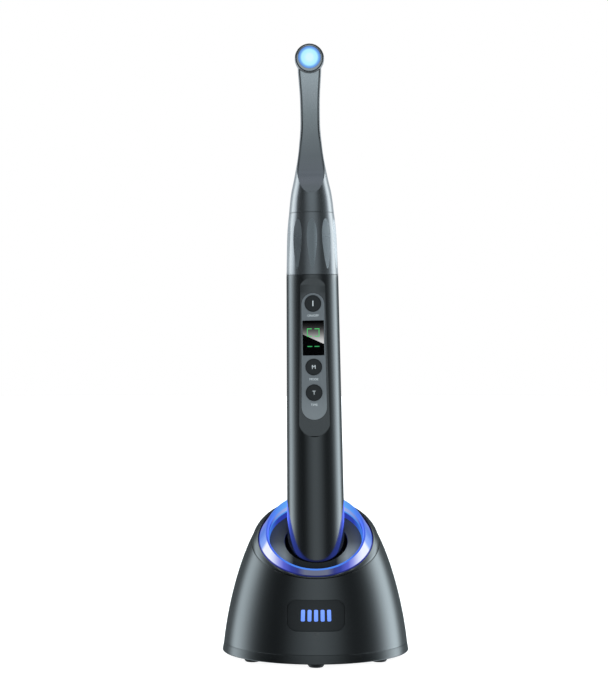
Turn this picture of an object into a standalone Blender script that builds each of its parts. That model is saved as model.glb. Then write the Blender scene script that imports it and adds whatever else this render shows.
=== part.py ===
"""A cordless dental curing light standing in its charging base.

Metres, +Z up, the front of the handpiece towards -Y. The origin is on the table, under the middle
of the base. The handpiece is modelled in its own frame, upright on the bottom of its end cap, and
an empty carries it into the socket with a slight lean.
"""

import math

import bmesh
import bpy
from mathutils import Matrix, Vector

MM = 0.001
FIT = 0.3 * MM  # clearance between neighbouring pieces
SLIDE = 0.3 * MM  # running clearance of pins, buttons and the swivel
OVERSHOOT = 5.0 * MM  # how far a cutter runs past the surface that it cuts
WELD = 0.001 * MM  # points nearer than this are one point
SMOOTH_ANGLE = math.radians(35.0)  # sharper edges than this stay crisp
ROUND_MIDDLE = 1.0 - math.sqrt(0.5)  # how far a quarter round's middle lies inside its corner

# Charging base: a turned dome on a tray with rubber feet
FOOT_HEIGHT = 2.0 * MM
FOOT_RADIUS = 3.3 * MM
FOOT_SUNK = 1.2 * MM
FOOT_INSET = 6.3 * MM
FOOT_ANGLES = (0.0, 54.0, 126.0, 180.0, 234.0, 306.0)
BASE_RADIUS = 36.8 * MM
DOME_HEIGHT = 61.5 * MM
DOME_RISE_POWER = 1.213
DOME_ROUND_POWER = 3.17
DOME_WALL = 2.0 * MM
DOME_ROWS = 11
DOME_ROW_POWER = 0.8
TRAY_FLOOR = 2.6 * MM
TRAY_BAND = 3.2 * MM
TRAY_WALL = 1.6 * MM
TRAY_EDGE = 0.9 * MM
SCREW_INSET = 6.6 * MM
SCREW_ANGLES = (27.0, 153.0, 207.0, 333.0)
SCREW_RADIUS = 1.2 * MM
SCREW_HEAD_RADIUS = 2.6 * MM
SCREW_HEAD_HEIGHT = 1.1 * MM
SCREW_LENGTH = 8.5 * MM
SCREW_BOSS_RADIUS = 3.0 * MM
SCREW_BOSS_HEIGHT = 16.0 * MM
LABEL_WIDTH = 22.0 * MM
LABEL_HEIGHT = 12.0 * MM
LABEL_CORNER = 3.5 * MM
LABEL_MIDDLE = 20.2 * MM
LABEL_SUNK = 0.35 * MM
LABEL_THICK = 0.8 * MM

# The slanted top of the base: parting line, light ring and socket
PARTING_TILT = math.radians(25.5)
PARTING_BELOW_TOP = 15.1 * MM
FACE_TILT = math.radians(34.0)
FACE_FORWARD = 10.3 * MM
FACE_BELOW_TOP = 16.35 * MM
RING_RADIUS = 22.4 * MM
RING_TOP_RADIUS = 19.6 * MM
RING_TOP_LAND = 0.9 * MM
RING_RISE = 3.65 * MM
RING_RISE_SLOPE = 0.15
RING_SUNK = 4.4 * MM
RING_INNER_RADIUS = 18.3 * MM
RIM_SKIRT = 0.65 * MM
RING_BOARD_THICK = 1.0 * MM
DISH_SUNK = 0.4 * MM
DISH_DEPTH = 0.5 * MM
FLANGE_THICK = 1.5 * MM
SOCKET_PLAY = 1.15 * MM
SOCKET_WALL = 1.5 * MM
SOCKET_FLOOR = 1.7 * MM
POST_RADIUS = 1.8 * MM
POST_INSET = 0.65 * MM
POST_ANGLES = (0.0, 120.0, 240.0)

# Charging electronics in the base
BOARD_THICK = 1.2 * MM
BOARD_HALF_WIDTH = 7.4 * MM
BOARD_FRONT = -20.4 * MM
BOARD_BACK_INSET = 5.8 * MM
STANDOFF_HEIGHT = 2.2 * MM
STANDOFF_RADIUS = 1.6 * MM
STANDOFF_X = 5.5 * MM
STANDOFF_FRONT_INSET = 3.9 * MM
STANDOFF_BACK_INSET = 7.0 * MM
PIN_RADIUS = 0.7 * MM
PIN_PROUD = 0.2 * MM
PIN_LENGTH = 3.7 * MM
PIN_BARREL_WALL = 0.6 * MM
PIN_OFFSET = 6.0 * MM
INLET_WIDTH = 9.0 * MM
INLET_HEIGHT = 3.3 * MM
INLET_DEPTH = 7.6 * MM
INLET_WALL = 0.45 * MM
INLET_SUNK = 0.8 * MM
INLET_MOUTH_DEPTH = 3.8 * MM

# Where the handpiece stands
SEAT_HEIGHT = 14.0 * MM
PEN_PLACE = Vector((0.6 * MM, -11.2 * MM, SEAT_HEIGHT))
PEN_LEAN = math.radians(0.8)

# Handpiece body, heights above the bottom of its end cap
BODY_LOW_RADIUS = 11.2 * MM
BODY_TOP_RADIUS = 10.35 * MM
BODY_TAPER_START = 46.0 * MM
BODY_TOP = 136.7 * MM
CAP_HEIGHT = 6.0 * MM
CAP_ROUND = 0.9 * MM
CAP_SPIGOT = 6.0 * MM
CONTACT_THICK = 1.2 * MM
CONTACT_SUNK = 0.2 * MM
CENTRE_CONTACT_RADIUS = 2.0 * MM
RING_CONTACT_WIDTH = 2.0 * MM
SEAL_RADIUS = 0.5 * MM
SEAL_HEIGHT = 9.0 * MM
SEAL_GAP = 0.15 * MM
CELL_RADIUS = 9.0 * MM
CELL_LENGTH = 50.0 * MM
CELL_BORE = 9.5 * MM
CELL_BAY_TOP = 74.0 * MM
PAD_THICK = 1.5 * MM
CORE_BORE = 7.6 * MM

# Control panel on the front of the body
FLAT_DEPTH = 9.05 * MM
FLAT_WIDTH = 11.6 * MM
FLAT_LENGTH = 62.0 * MM
FLAT_MIDDLE = 104.7 * MM
PANEL_WIDTH = 9.4 * MM
PANEL_LENGTH = 50.0 * MM
PANEL_MIDDLE = 105.2 * MM
PANEL_THICK = 0.8 * MM
PANEL_PROUD = 0.1 * MM
PANEL_LEDGE = 0.7 * MM
BUTTON_RADIUS = 3.2 * MM
BUTTON_PROUD = 0.35 * MM
BUTTON_CHAMFER = 0.25 * MM
BUTTON_FLANGE = 0.45 * MM
BUTTON_FLANGE_THICK = 0.6 * MM
BUTTON_STEM = 1.2 * MM
BUTTON_HEIGHTS = {"power": 125.6 * MM, "mode": 100.9 * MM, "time": 90.9 * MM}
DISPLAY_WIDTH = 8.0 * MM
DISPLAY_LENGTH = 13.3 * MM
DISPLAY_MIDDLE = 112.2 * MM
DISPLAY_MODULE_THICK = 1.4 * MM
DISPLAY_MODULE_WIDTH = 7.4 * MM
MAIN_BOARD_FRONT = 3.0 * MM
MAIN_BOARD_THICK = 1.0 * MM
MAIN_BOARD_HALF_WIDTH = 6.6 * MM
MAIN_BOARD_LOW = 79.0 * MM
MAIN_BOARD_TOP = 128.5 * MM
SWITCH_SIDE = 4.5 * MM
SWITCH_THICK = 1.7 * MM
PLUNGER_RADIUS = 0.9 * MM
PLUNGER_PROUD = 0.6 * MM
PLUNGER_LENGTH = 1.3 * MM

# Metal grip and the swivel inside it, heights above the grip's lower end
GRIP_LENGTH = 24.2 * MM
GRIP_TOP_RADIUS = 8.93 * MM
GRIP_SWELL = ((9.37, 21.2), (9.76, 17.2), (9.97, 13.0), (10.14, 6.9))
GRIP_SPIGOT = 7.3 * MM
GRIP_SPIGOT_WALL = 1.0 * MM
GRIP_FLATS = 10
GRIP_FLAT_DEPTH = 0.2 * MM
GRIP_FLAT_RISE = 12.7 * MM
GRIP_FLAT_LENGTH = 18.6 * MM
GRIP_FLAT_SLOPE = math.radians(2.8)
SWIVEL_BORE = 7.0 * MM
SWIVEL_SHOULDER_RISE = 13.6 * MM
SWIVEL_SHOULDER_HEIGHT = 2.0 * MM
TAIL_RADIUS = 6.0 * MM
TAIL_BORE = 4.6 * MM
TAIL_RISE = 5.9 * MM
BUSH_LENGTH = 5.0 * MM
NECK_SEAL_RISE = 21.2 * MM
NECK_SEAL_SUNK = 0.5 * MM
CLIP_THICK = 1.2 * MM
CLIP_WIDTH = 1.3 * MM
STOP_RADIUS = 0.6 * MM
STOP_ABOVE_TAIL = 1.7 * MM
STOP_REACH = 9.6 * MM
LUG_THICK = 1.2 * MM

# Neck and head
NECK_SECTIONS = (
    (0.074, 8.40, 8.40, 0.0),
    (0.139, 7.95, 7.95, 0.1),
    (0.205, 6.95, 7.00, 0.3),
    (0.269, 6.15, 6.20, 0.5),
    (0.335, 5.40, 5.50, 0.7),
    (0.400, 4.83, 5.00, 0.9),
    (0.464, 4.42, 4.60, 1.0),
    (0.530, 4.05, 4.20, 1.1),
    (0.595, 3.87, 3.90, 1.1),
    (0.725, 3.90, 3.80, 0.7),
    (0.791, 4.05, 3.90, 0.4),
    (0.869, 4.45, 4.00, 0.0),
    (0.938, 4.70, 3.80, -0.6),
    (1.004, 4.50, 3.00, -1.0),
)  # share of the neck's length, then half width, half depth and middle in millimetres
SCOOP = (
    (0.102, -10.0),
    (0.127, -7.9),
    (0.168, -4.6),
    (0.215, -1.9),
    (0.269, 0.1),
    (0.335, 0.5),
    (0.410, 0.0),
    (0.525, -0.8),
    (0.657, -1.4),
    (0.773, -2.1),
    (0.855, -3.1),
    (0.912, -4.6),
)  # share of the neck's length and depth in millimetres of its scooped front
NECK_LENGTH = 60.1 * MM
HEAD_SIDES = ((5.9, 4.6), (5.95, 2.2), (5.75, -0.4), (5.0, -2.6))
HEAD_BACK = 4.0 * MM
HEAD_BACK_ROUND = (3.0, -3.7)
HEAD_FACE = 6.0 * MM
HEAD_FACE_RADIUS = 5.6 * MM
HEAD_BORE = 5.0 * MM
HEAD_BORE_END = 0.4 * MM
BEZEL_THICK = 1.3 * MM
BEZEL_INNER = 4.45 * MM
LENS_FLANGE_THICK = 0.8 * MM
LENS_SUNK = 0.3 * MM
LENS_CROWN = 0.4 * MM
REFLECTOR_THICK = 1.4 * MM
REFLECTOR_MOUTH = 3.9 * MM
REFLECTOR_THROAT = 1.5 * MM
EMITTER_SIDE = 1.8 * MM
EMITTER_THICK = 0.6 * MM
LED_BOARD_THICK = 0.9 * MM
CHANNEL_RADIUS = 1.7 * MM
LEAD_RADIUS = 0.9 * MM
GROMMET_LENGTH = 3.5 * MM
LEAD_STRAIGHT_RISE = 18.4 * MM
LEAD_END_DROP = 3.95 * MM
LEAD_ROUTE = (
    (0.3, 0.030),
    (1.6, 0.129),
    (2.9, 0.244),
    (3.2, 0.327),
    (2.7, 0.459),
    (2.0, 0.591),
    (1.5, 0.723),
    (1.0, 0.839),
    (0.5, 0.905),
    (-0.7, 0.955),
)  # depth in millimetres and share of the neck's length of the wiring channel
BOARD_LEAD_TOP = ((0.0, 5.3), (0.4, 0.4), (0.6, -4.6))
BOARD_LEAD_END = ((-0.5, 0.0), (-0.8, -3.5))

FINE = 40
ROUND = 28
MEDIUM = 20
SMALL = 10
NECK_SIDES = 24
STADIUM_LAND = 0.002 * MM

# Heights and radii that follow from the sizes above
TRAY_TOP = FOOT_HEIGHT + TRAY_FLOOR
DOME_TOP = FOOT_HEIGHT + DOME_HEIGHT
PARTING_HEIGHT = DOME_TOP - PARTING_BELOW_TOP
FACE_MIDDLE = Vector((0.0, -FACE_FORWARD, DOME_TOP - FACE_BELOW_TOP))
FOOT_CIRCLE = BASE_RADIUS - FOOT_INSET
SCREW_CIRCLE = BASE_RADIUS - SCREW_INSET
BOARD_BACK = BASE_RADIUS - BOARD_BACK_INSET
STANDOFF_Y = (BOARD_FRONT + STANDOFF_FRONT_INSET, BOARD_BACK - STANDOFF_BACK_INSET)
SHELL_LOW = FOOT_HEIGHT + TRAY_BAND + FIT
BOARD_LOW = TRAY_TOP + STANDOFF_HEIGHT + FIT
BOARD_TOP = BOARD_LOW + BOARD_THICK
SOCKET_BOTTOM = SEAT_HEIGHT - FIT
SOCKET_RADIUS = BODY_LOW_RADIUS + SOCKET_PLAY
POST_CIRCLE = SOCKET_RADIUS - POST_INSET
RING_BOARD_DROP = RING_SUNK + FIT
FLANGE_DROP = RING_BOARD_DROP + RING_BOARD_THICK + FIT
RIM_RADIUS = RING_RADIUS + FIT
RIM_SKIRT_RADIUS = RIM_RADIUS + RIM_SKIRT
PANEL_FACE = FLAT_DEPTH + PANEL_PROUD
PANEL_BACK = PANEL_FACE - PANEL_THICK
SWITCH_FACE = MAIN_BOARD_FRONT + FIT + SWITCH_THICK
GRIP_LOW = BODY_TOP + FIT
GRIP_TOP = GRIP_LOW + GRIP_LENGTH
GRIP_FLAT_MIDDLE = GRIP_LOW + GRIP_FLAT_RISE
SWIVEL_SHOULDER = GRIP_LOW + SWIVEL_SHOULDER_RISE
NECK_SEAL_HEIGHT = GRIP_LOW + NECK_SEAL_RISE
LEAD_STRAIGHT_TOP = GRIP_LOW + LEAD_STRAIGHT_RISE
TAIL_LOW = GRIP_LOW + TAIL_RISE
TAIL_TOP = GRIP_TOP + FIT
HEAD_HEIGHT = TAIL_TOP + NECK_LENGTH
STOP_HEIGHT = TAIL_LOW + STOP_ABOVE_TAIL
LENS_FLANGE_RADIUS = HEAD_BORE - FIT


def clear_scene():
    """Removes every object of the open scene."""
    for thing in list(bpy.data.objects):
        bpy.data.objects.remove(thing, do_unlink=True)


def new_collection(name):
    group = bpy.data.collections.new(name)
    bpy.context.scene.collection.children.link(group)
    return group


clear_scene()
PARTS = new_collection("curing_light")
CUTTERS = new_collection("cutters")
HANDPIECE = bpy.data.objects.new("handpiece_frame", None)
PARTS.objects.link(HANDPIECE)
HANDPIECE.location = PEN_PLACE
HANDPIECE.rotation_euler = (0.0, -PEN_LEAN, 0.0)


def finish(name, colour, roughness, metallic=0.0):
    """A Principled material."""
    made = bpy.data.materials.new(name)
    made.use_nodes = True
    shader = made.node_tree.nodes["Principled BSDF"]
    shader.inputs["Base Color"].default_value = (*colour, 1.0)
    shader.inputs["Roughness"].default_value = roughness
    shader.inputs["Metallic"].default_value = metallic
    return made


BLACK_PLASTIC = finish("black_plastic", (0.018, 0.02, 0.022), 0.32)
GUNMETAL = finish("gunmetal", (0.27, 0.29, 0.31), 0.25, 1.0)
STEEL = finish("steel", (0.55, 0.56, 0.57), 0.3, 1.0)
BRASS = finish("gold_plate", (0.75, 0.55, 0.22), 0.3, 1.0)
BLUE_ACRYLIC = finish("blue_acrylic", (0.12, 0.22, 0.8), 0.15)
GREY_PANEL = finish("grey_panel", (0.13, 0.14, 0.15), 0.4)
DARK_GLASS = finish("dark_glass", (0.008, 0.008, 0.009), 0.05)
LENS_GLASS = finish("lens_glass", (0.45, 0.75, 0.95), 0.05)
RUBBER = finish("rubber", (0.02, 0.02, 0.02), 0.8)
CIRCUIT_BOARD = finish("circuit_board", (0.02, 0.12, 0.05), 0.5)
CELL_WRAP = finish("cell_wrap", (0.05, 0.12, 0.3), 0.4)
WHITE_PLASTIC = finish("white_plastic", (0.75, 0.75, 0.73), 0.4)
CABLE = finish("cable", (0.05, 0.05, 0.05), 0.5)


def place(name, mesh, material, parent=None, location=(0.0, 0.0, 0.0), rotation=(0.0, 0.0, 0.0)):
    """Adds a mesh to the model, or to the cutters where it has no material."""
    made = bpy.data.objects.new(name, mesh)
    (PARTS if material else CUTTERS).objects.link(made)
    made.parent = parent
    made.location = location
    made.rotation_euler = rotation
    if material:
        mesh.materials.append(material)
        mesh.shade_smooth()
        mesh.set_sharp_from_angle(angle=SMOOTH_ANGLE)
    else:
        made.hide_render = True
        made.display_type = "WIRE"
    return made


def mesh_from(name, build):
    """A mesh that the given function fills through bmesh."""
    work = bmesh.new()
    build(work)
    bmesh.ops.recalc_face_normals(work, faces=work.faces)
    mesh = bpy.data.meshes.new(name)
    work.to_mesh(mesh)
    work.free()
    return mesh


def turned(name, profile, material=None, segments=ROUND, **placing):
    """A profile of (radius, height), down the outer side and up the inner one, turned about Z."""
    mesh = bpy.data.meshes.new(name)
    edges = [(i, (i + 1) % len(profile)) for i in range(len(profile))]
    if profile[0][0] == 0.0 and profile[-1][0] == 0.0:
        edges.pop()
    mesh.from_pydata([(radius, 0.0, height) for radius, height in profile], edges, [])
    made = place(name, mesh, material, **placing)
    screw = made.modifiers.new("turn", "SCREW")
    screw.steps = segments
    screw.render_steps = segments
    screw.use_merge_vertices = True
    screw.merge_threshold = WELD
    screw.use_smooth_shade = True
    if material:
        made.modifiers.new("edges", "EDGE_SPLIT").split_angle = SMOOTH_ANGLE
        made.modifiers.new("weld", "WELD").merge_threshold = WELD
    return made


def tube(name, outer, inner, low, high, material=None, segments=MEDIUM, **placing):
    profile = ((outer, high), (outer, low), (inner, low), (inner, high))
    return turned(name, profile, material, segments, **placing)


def rod(name, radius, low, high, material=None, segments=MEDIUM, **placing):
    """An upright cylinder between two heights."""

    def build(work):
        bmesh.ops.create_cone(
            work,
            cap_ends=True,
            segments=segments,
            radius1=radius,
            radius2=radius,
            depth=high - low,
            matrix=Matrix.Translation((0.0, 0.0, (low + high) / 2.0)),
        )

    return place(name, mesh_from(name, build), material, **placing)


def block(name, low, high, material=None, **placing):
    """A box between two corners."""
    low, high = Vector(low), Vector(high)

    def build(work):
        size = Matrix.Diagonal((*(high - low), 1.0))
        bmesh.ops.create_cube(work, size=1.0, matrix=Matrix.Translation((low + high) / 2.0) @ size)

    return place(name, mesh_from(name, build), material, **placing)


def torus(name, radius, thickness, height, material, **placing):
    """A seal ring, as a turned circle."""
    count = 6
    profile = []
    for step in range(count):
        angle = math.pi / 2.0 - 2.0 * math.pi * step / count
        profile.append((radius + thickness * math.cos(angle), height + thickness * math.sin(angle)))
    return turned(name, profile, material, MEDIUM, **placing)


def loft(name, loops, material=None, ring=False, **placing):
    """A skin over loops of points: closed round as a ring, or capped at its first and last loop."""

    def build(work):
        rows = [[work.verts.new(point) for point in loop] for loop in loops]
        count = len(rows[0])
        pairs = list(zip(rows, rows[1:]))
        if ring:
            pairs.append((rows[-1], rows[0]))
        else:
            work.faces.new(rows[0])
            work.faces.new(rows[-1])
        for near, far in pairs:
            for i in range(count):
                j = (i + 1) % count
                work.faces.new((near[i], near[j], far[j], far[i]))

    return place(name, mesh_from(name, build), material, **placing)


def curve_mesh(name, points, closed, **settings):
    """The mesh of a curve through the points, with its caps welded on."""
    curve = bpy.data.curves.new(name, "CURVE")
    for setting, value in settings.items():
        setattr(curve, setting, value)
    spline = curve.splines.new("POLY")
    spline.points.add(len(points) - 1)
    for knot, point in zip(spline.points, points):
        knot.co = (*point, 1.0)
    spline.use_cyclic_u = closed
    holder = bpy.data.objects.new(name + "_curve", curve)
    bpy.context.scene.collection.objects.link(holder)
    graph = bpy.context.evaluated_depsgraph_get()
    mesh = bpy.data.meshes.new_from_object(holder.evaluated_get(graph))
    bpy.data.objects.remove(holder, do_unlink=True)
    work = bmesh.new()
    work.from_mesh(mesh)
    bmesh.ops.remove_doubles(work, verts=work.verts, dist=WELD)
    bmesh.ops.recalc_face_normals(work, faces=work.faces)
    work.to_mesh(mesh)
    work.free()
    mesh.name = name
    mesh.materials.clear()
    return mesh


def flat_outline(name, points, low, high, material=None, **placing):
    """A flat outline in X and Y, extruded between two heights."""
    mesh = curve_mesh(
        name,
        [(x, y, 0.0) for x, y in points],
        True,
        dimensions="2D",
        fill_mode="BOTH",
        extrude=(high - low) / 2.0,
    )
    mesh.transform(Matrix.Translation((0.0, 0.0, (low + high) / 2.0)))
    return place(name, mesh, material, **placing)


def round_rectangle(width, height, radius, steps=6):
    """Points of a rectangle with round corners, about the origin."""
    points = []
    for quarter in range(4):
        start = quarter * math.pi / 2.0
        side_x = 1.0 if quarter in (0, 3) else -1.0
        side_y = 1.0 if quarter in (0, 1) else -1.0
        for step in range(steps + 1):
            angle = start + step * math.pi / 2.0 / steps
            x = side_x * (width / 2.0 - radius) + radius * math.cos(angle)
            y = side_y * (height / 2.0 - radius) + radius * math.sin(angle)
            points.append((x, y))
    return points


def wire(name, route, radius, material=None, **placing):
    """A round cord along a smooth curve through the route's points."""
    mesh = curve_mesh(
        name,
        smooth_route(route),
        False,
        dimensions="3D",
        bevel_depth=radius,
        bevel_resolution=1,
        use_fill_caps=True,
    )
    return place(name, mesh, material, **placing)


def smooth_route(route, steps=3):
    """Points of a smooth curve through (depth, height) pairs in millimetres, in the plane X = 0."""
    knots = [Vector((0.0, depth * MM, height * MM)) for depth, height in route]
    points = []
    for i in range(len(knots) - 1):
        before = knots[max(i - 1, 0)]
        start, end = knots[i], knots[i + 1]
        after = knots[min(i + 2, len(knots) - 1)]
        for step in range(steps):
            t = step / steps
            pull = (end - before) * t + (2.0 * before - 5.0 * start + 4.0 * end - after) * t**2
            pull += (3.0 * start - before - 3.0 * end + after) * t**3
            points.append(start + 0.5 * pull)
    points.append(knots[-1])
    return points


def combine(target, other, operation):
    change = target.modifiers.new(operation.lower(), "BOOLEAN")
    change.operation = operation
    change.object = other
    change.solver = "EXACT"


def cut(target, *cutters):
    for cutter in cutters:
        combine(target, cutter, "DIFFERENCE")


def join(target, *others):
    for other in others:
        combine(target, other, "UNION")


def around(radius, degrees):
    """A point on a circle in plan, counted from the front."""
    angle = math.radians(degrees)
    return Vector((radius * math.sin(angle), -radius * math.cos(angle), 0.0))


def dome_radius(height):
    """Outer radius of the dome at a height above the table."""
    rise = max(height - FOOT_HEIGHT, 0.0) / DOME_HEIGHT
    return BASE_RADIUS * max(1.0 - rise**DOME_RISE_POWER, 0.0) ** (1.0 / DOME_ROUND_POWER)


def dome_band(low, high, outer_step, inner_step, count):
    """Profile of a band of the dome, its two faces offset from the outer surface."""
    heights = [high + (low - high) * i / count for i in range(count + 1)]
    outside = [(dome_radius(height) + outer_step, height) for height in heights]
    inside = [(dome_radius(height) + inner_step, height) for height in reversed(heights)]
    return outside + inside


def on_face(angle, radius, rise=0.0, drop=0.0):
    """A point by its angle and radius on the face, its height off the face and its upright drop."""
    along = radius * math.sin(angle)
    return FACE_MIDDLE + Vector(
        (
            radius * math.cos(angle),
            along * math.cos(FACE_TILT) - rise * math.sin(FACE_TILT),
            along * math.sin(FACE_TILT) + rise * math.cos(FACE_TILT) - drop,
        )
    )


def angles(count):
    return [2.0 * math.pi * step / count for step in range(count)]


def face_loop(radius, drop=0.0):
    """A circle on the face, let straight down by a drop."""
    return [on_face(angle, radius, drop=drop) for angle in angles(FINE)]


def face_height(depth):
    """Height of the face at a depth."""
    return FACE_MIDDLE.z + (depth - FACE_MIDDLE.y) * math.tan(FACE_TILT)


def parting_height(depth):
    return PARTING_HEIGHT + depth * math.tan(PARTING_TILT)


def parting_drop(angle, radius):
    """How far the parting plane lies straight below the face at an angle and radius on it."""
    spot = on_face(angle, radius)
    return spot.z - parting_height(spot.y)


def parting_point(angle):
    """Where the parting plane meets the dome, in a direction on the face."""
    near, far = RING_INNER_RADIUS, 2.0 * BASE_RADIUS
    for _ in range(40):
        radius = (near + far) / 2.0
        point = on_face(angle, radius, drop=parting_drop(angle, radius))
        if math.hypot(point.x, point.y) > dome_radius(point.z):
            far = radius
        else:
            near = radius
    return point


def upright_loop(radius, height_of):
    """A loop on an upright cylinder about the socket, at a height that may follow the depth."""
    points = []
    for angle in angles(FINE):
        x = PEN_PLACE.x + radius * math.cos(angle)
        y = PEN_PLACE.y + radius * math.sin(angle)
        points.append(Vector((x, y, height_of(y))))
    return points


def build_base_shell():
    """The dome, cut off along the slanted parting plane."""
    shares = [(row / DOME_ROWS) ** DOME_ROW_POWER for row in range(1, DOME_ROWS + 1)]
    heights = [DOME_TOP + (SHELL_LOW - DOME_TOP) * share for share in shares]
    profile = [(0.0, DOME_TOP)]
    profile += [(dome_radius(height), height) for height in heights]
    inner_top = max(height for height in heights if dome_radius(height) > 2.0 * DOME_WALL)
    inside = [height for height in heights if height <= inner_top]
    profile += [(dome_radius(height) - DOME_WALL, height) for height in reversed(inside)]
    profile.append((0.0, inner_top))
    shell = turned("base_shell", profile, BLACK_PLASTIC, FINE)
    reach = 3.0 * BASE_RADIUS
    above = block(
        "above_parting",
        (-reach, -reach, -FIT),
        (reach, reach, reach),
        location=(0.0, 0.0, PARTING_HEIGHT),
        rotation=(PARTING_TILT, 0.0, 0.0),
    )
    relief_radius = RIM_SKIRT_RADIUS + FIT
    relief_low = face_loop(relief_radius, FLANGE_DROP + FLANGE_THICK + FIT)
    relief = loft("rim_relief", [relief_low, face_loop(relief_radius, -OVERSHOOT)])
    for degrees in SCREW_ANGLES:
        spot = around(SCREW_CIRCLE, degrees)
        boss_low = TRAY_TOP + FIT
        boss = rod(
            f"screw_boss_{degrees:.0f}",
            SCREW_BOSS_RADIUS,
            boss_low,
            boss_low + SCREW_BOSS_HEIGHT,
            segments=SMALL,
            location=spot,
        )
        join(shell, boss)
    for degrees in SCREW_ANGLES:
        hole = rod(
            f"screw_hole_{degrees:.0f}",
            SCREW_RADIUS + FIT,
            0.0,
            FOOT_HEIGHT + SCREW_LENGTH + 2.0 * FIT,
            segments=SMALL,
            location=around(SCREW_CIRCLE, degrees),
        )
        cut(shell, hole)
    pocket = label_blank("label_pocket", OVERSHOOT, -LABEL_SUNK - LABEL_THICK - FIT, FIT)
    cut(shell, above, relief, pocket)
    inlet_low = BOARD_TOP
    slot = block(
        "inlet_slot",
        (-INLET_WIDTH / 2.0 - FIT, BASE_RADIUS / 2.0, inlet_low),
        (INLET_WIDTH / 2.0 + FIT, BASE_RADIUS + OVERSHOOT, inlet_low + INLET_HEIGHT + 2.0 * FIT),
    )
    cut(shell, slot)


def label_blank(name, outer_step, inner_step, margin, material=None):
    """A round-cornered piece of the dome's front wall between two offsets from its surface."""
    half = LABEL_HEIGHT / 2.0 + 2.0 * OVERSHOOT
    band = dome_band(LABEL_MIDDLE - half, LABEL_MIDDLE + half, outer_step, inner_step, 6)
    blank = turned(name, band, material, FINE)
    outline = round_rectangle(
        LABEL_WIDTH + 2.0 * margin, LABEL_HEIGHT + 2.0 * margin, LABEL_CORNER + margin
    )
    window = flat_outline(
        name + "_window",
        outline,
        BASE_RADIUS / 2.0,
        2.0 * BASE_RADIUS,
        location=(0.0, 0.0, LABEL_MIDDLE),
        rotation=(math.pi / 2.0, 0.0, 0.0),
    )
    combine(blank, window, "INTERSECT")
    return blank


def build_rim_and_ring():
    """The rim over the parting line, the translucent light ring and the board that lights it."""
    skirt_drop = FLANGE_DROP - FIT
    loops = [
        [parting_point(angle) for angle in angles(FINE)],
        face_loop(RIM_RADIUS),
        face_loop(RIM_RADIUS, skirt_drop),
        face_loop(RIM_SKIRT_RADIUS, skirt_drop),
    ]
    seat = []
    for angle in angles(FINE):
        drop = min(parting_drop(angle, RIM_SKIRT_RADIUS), skirt_drop - FIT)
        seat.append(on_face(angle, RIM_SKIRT_RADIUS, drop=drop))
    loops.append(seat)
    loft("base_rim", loops, BLACK_PLASTIC, ring=True)

    def crest(radius):
        points = []
        for angle in angles(FINE):
            rise = RING_RISE + RING_RISE_SLOPE * radius * math.sin(angle)
            points.append(on_face(angle, radius, rise))
        return points

    loops = [
        face_loop(RING_RADIUS, RING_SUNK),
        face_loop(RING_RADIUS),
        crest(RING_TOP_RADIUS),
        crest(RING_TOP_RADIUS - RING_TOP_LAND),
        face_loop(RING_INNER_RADIUS),
        face_loop(RING_INNER_RADIUS, RING_SUNK),
    ]
    loft("light_ring", loops, BLUE_ACRYLIC, ring=True)
    board_under = RING_BOARD_DROP + RING_BOARD_THICK
    loops = [
        face_loop(RING_RADIUS, board_under),
        face_loop(RING_RADIUS, RING_BOARD_DROP),
        face_loop(RING_INNER_RADIUS, RING_BOARD_DROP),
        face_loop(RING_INNER_RADIUS, board_under),
    ]
    loft("ring_light_board", loops, CIRCUIT_BOARD, ring=True)


def build_cradle():
    """The dished face, the flange under the light ring and the upright socket, as one moulding."""
    dish_radius = RING_INNER_RADIUS - FIT
    tube_radius = SOCKET_RADIUS + SOCKET_WALL
    under = FLANGE_DROP + FLANGE_THICK
    loops = [
        upright_loop(SOCKET_RADIUS, lambda depth: SOCKET_BOTTOM),
        upright_loop(SOCKET_RADIUS, lambda depth: face_height(depth) - DISH_SUNK - DISH_DEPTH),
        face_loop(dish_radius, DISH_SUNK),
        face_loop(dish_radius, FLANGE_DROP),
        face_loop(RIM_SKIRT_RADIUS, FLANGE_DROP),
        face_loop(RIM_SKIRT_RADIUS, under),
        upright_loop(tube_radius, lambda depth: face_height(depth) - under),
        upright_loop(tube_radius, lambda depth: SOCKET_BOTTOM - SOCKET_FLOOR),
    ]
    cradle = loft("cradle", loops, BLACK_PLASTIC)
    for side, spot in pin_spots().items():
        hole = rod(
            f"{side}_pin_hole",
            PIN_RADIUS + SLIDE + PIN_BARREL_WALL + FIT,
            0.0,
            SEAT_HEIGHT + OVERSHOOT,
            segments=SMALL,
            location=spot,
        )
        cut(cradle, hole)


def pin_spots():
    """Where the two spring contacts stand, under the handpiece's centre and ring contacts."""
    middle = Vector((PEN_PLACE.x, PEN_PLACE.y, 0.0))
    return {"centre": middle, "outer": middle + Vector((0.0, PIN_OFFSET, 0.0))}


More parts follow.
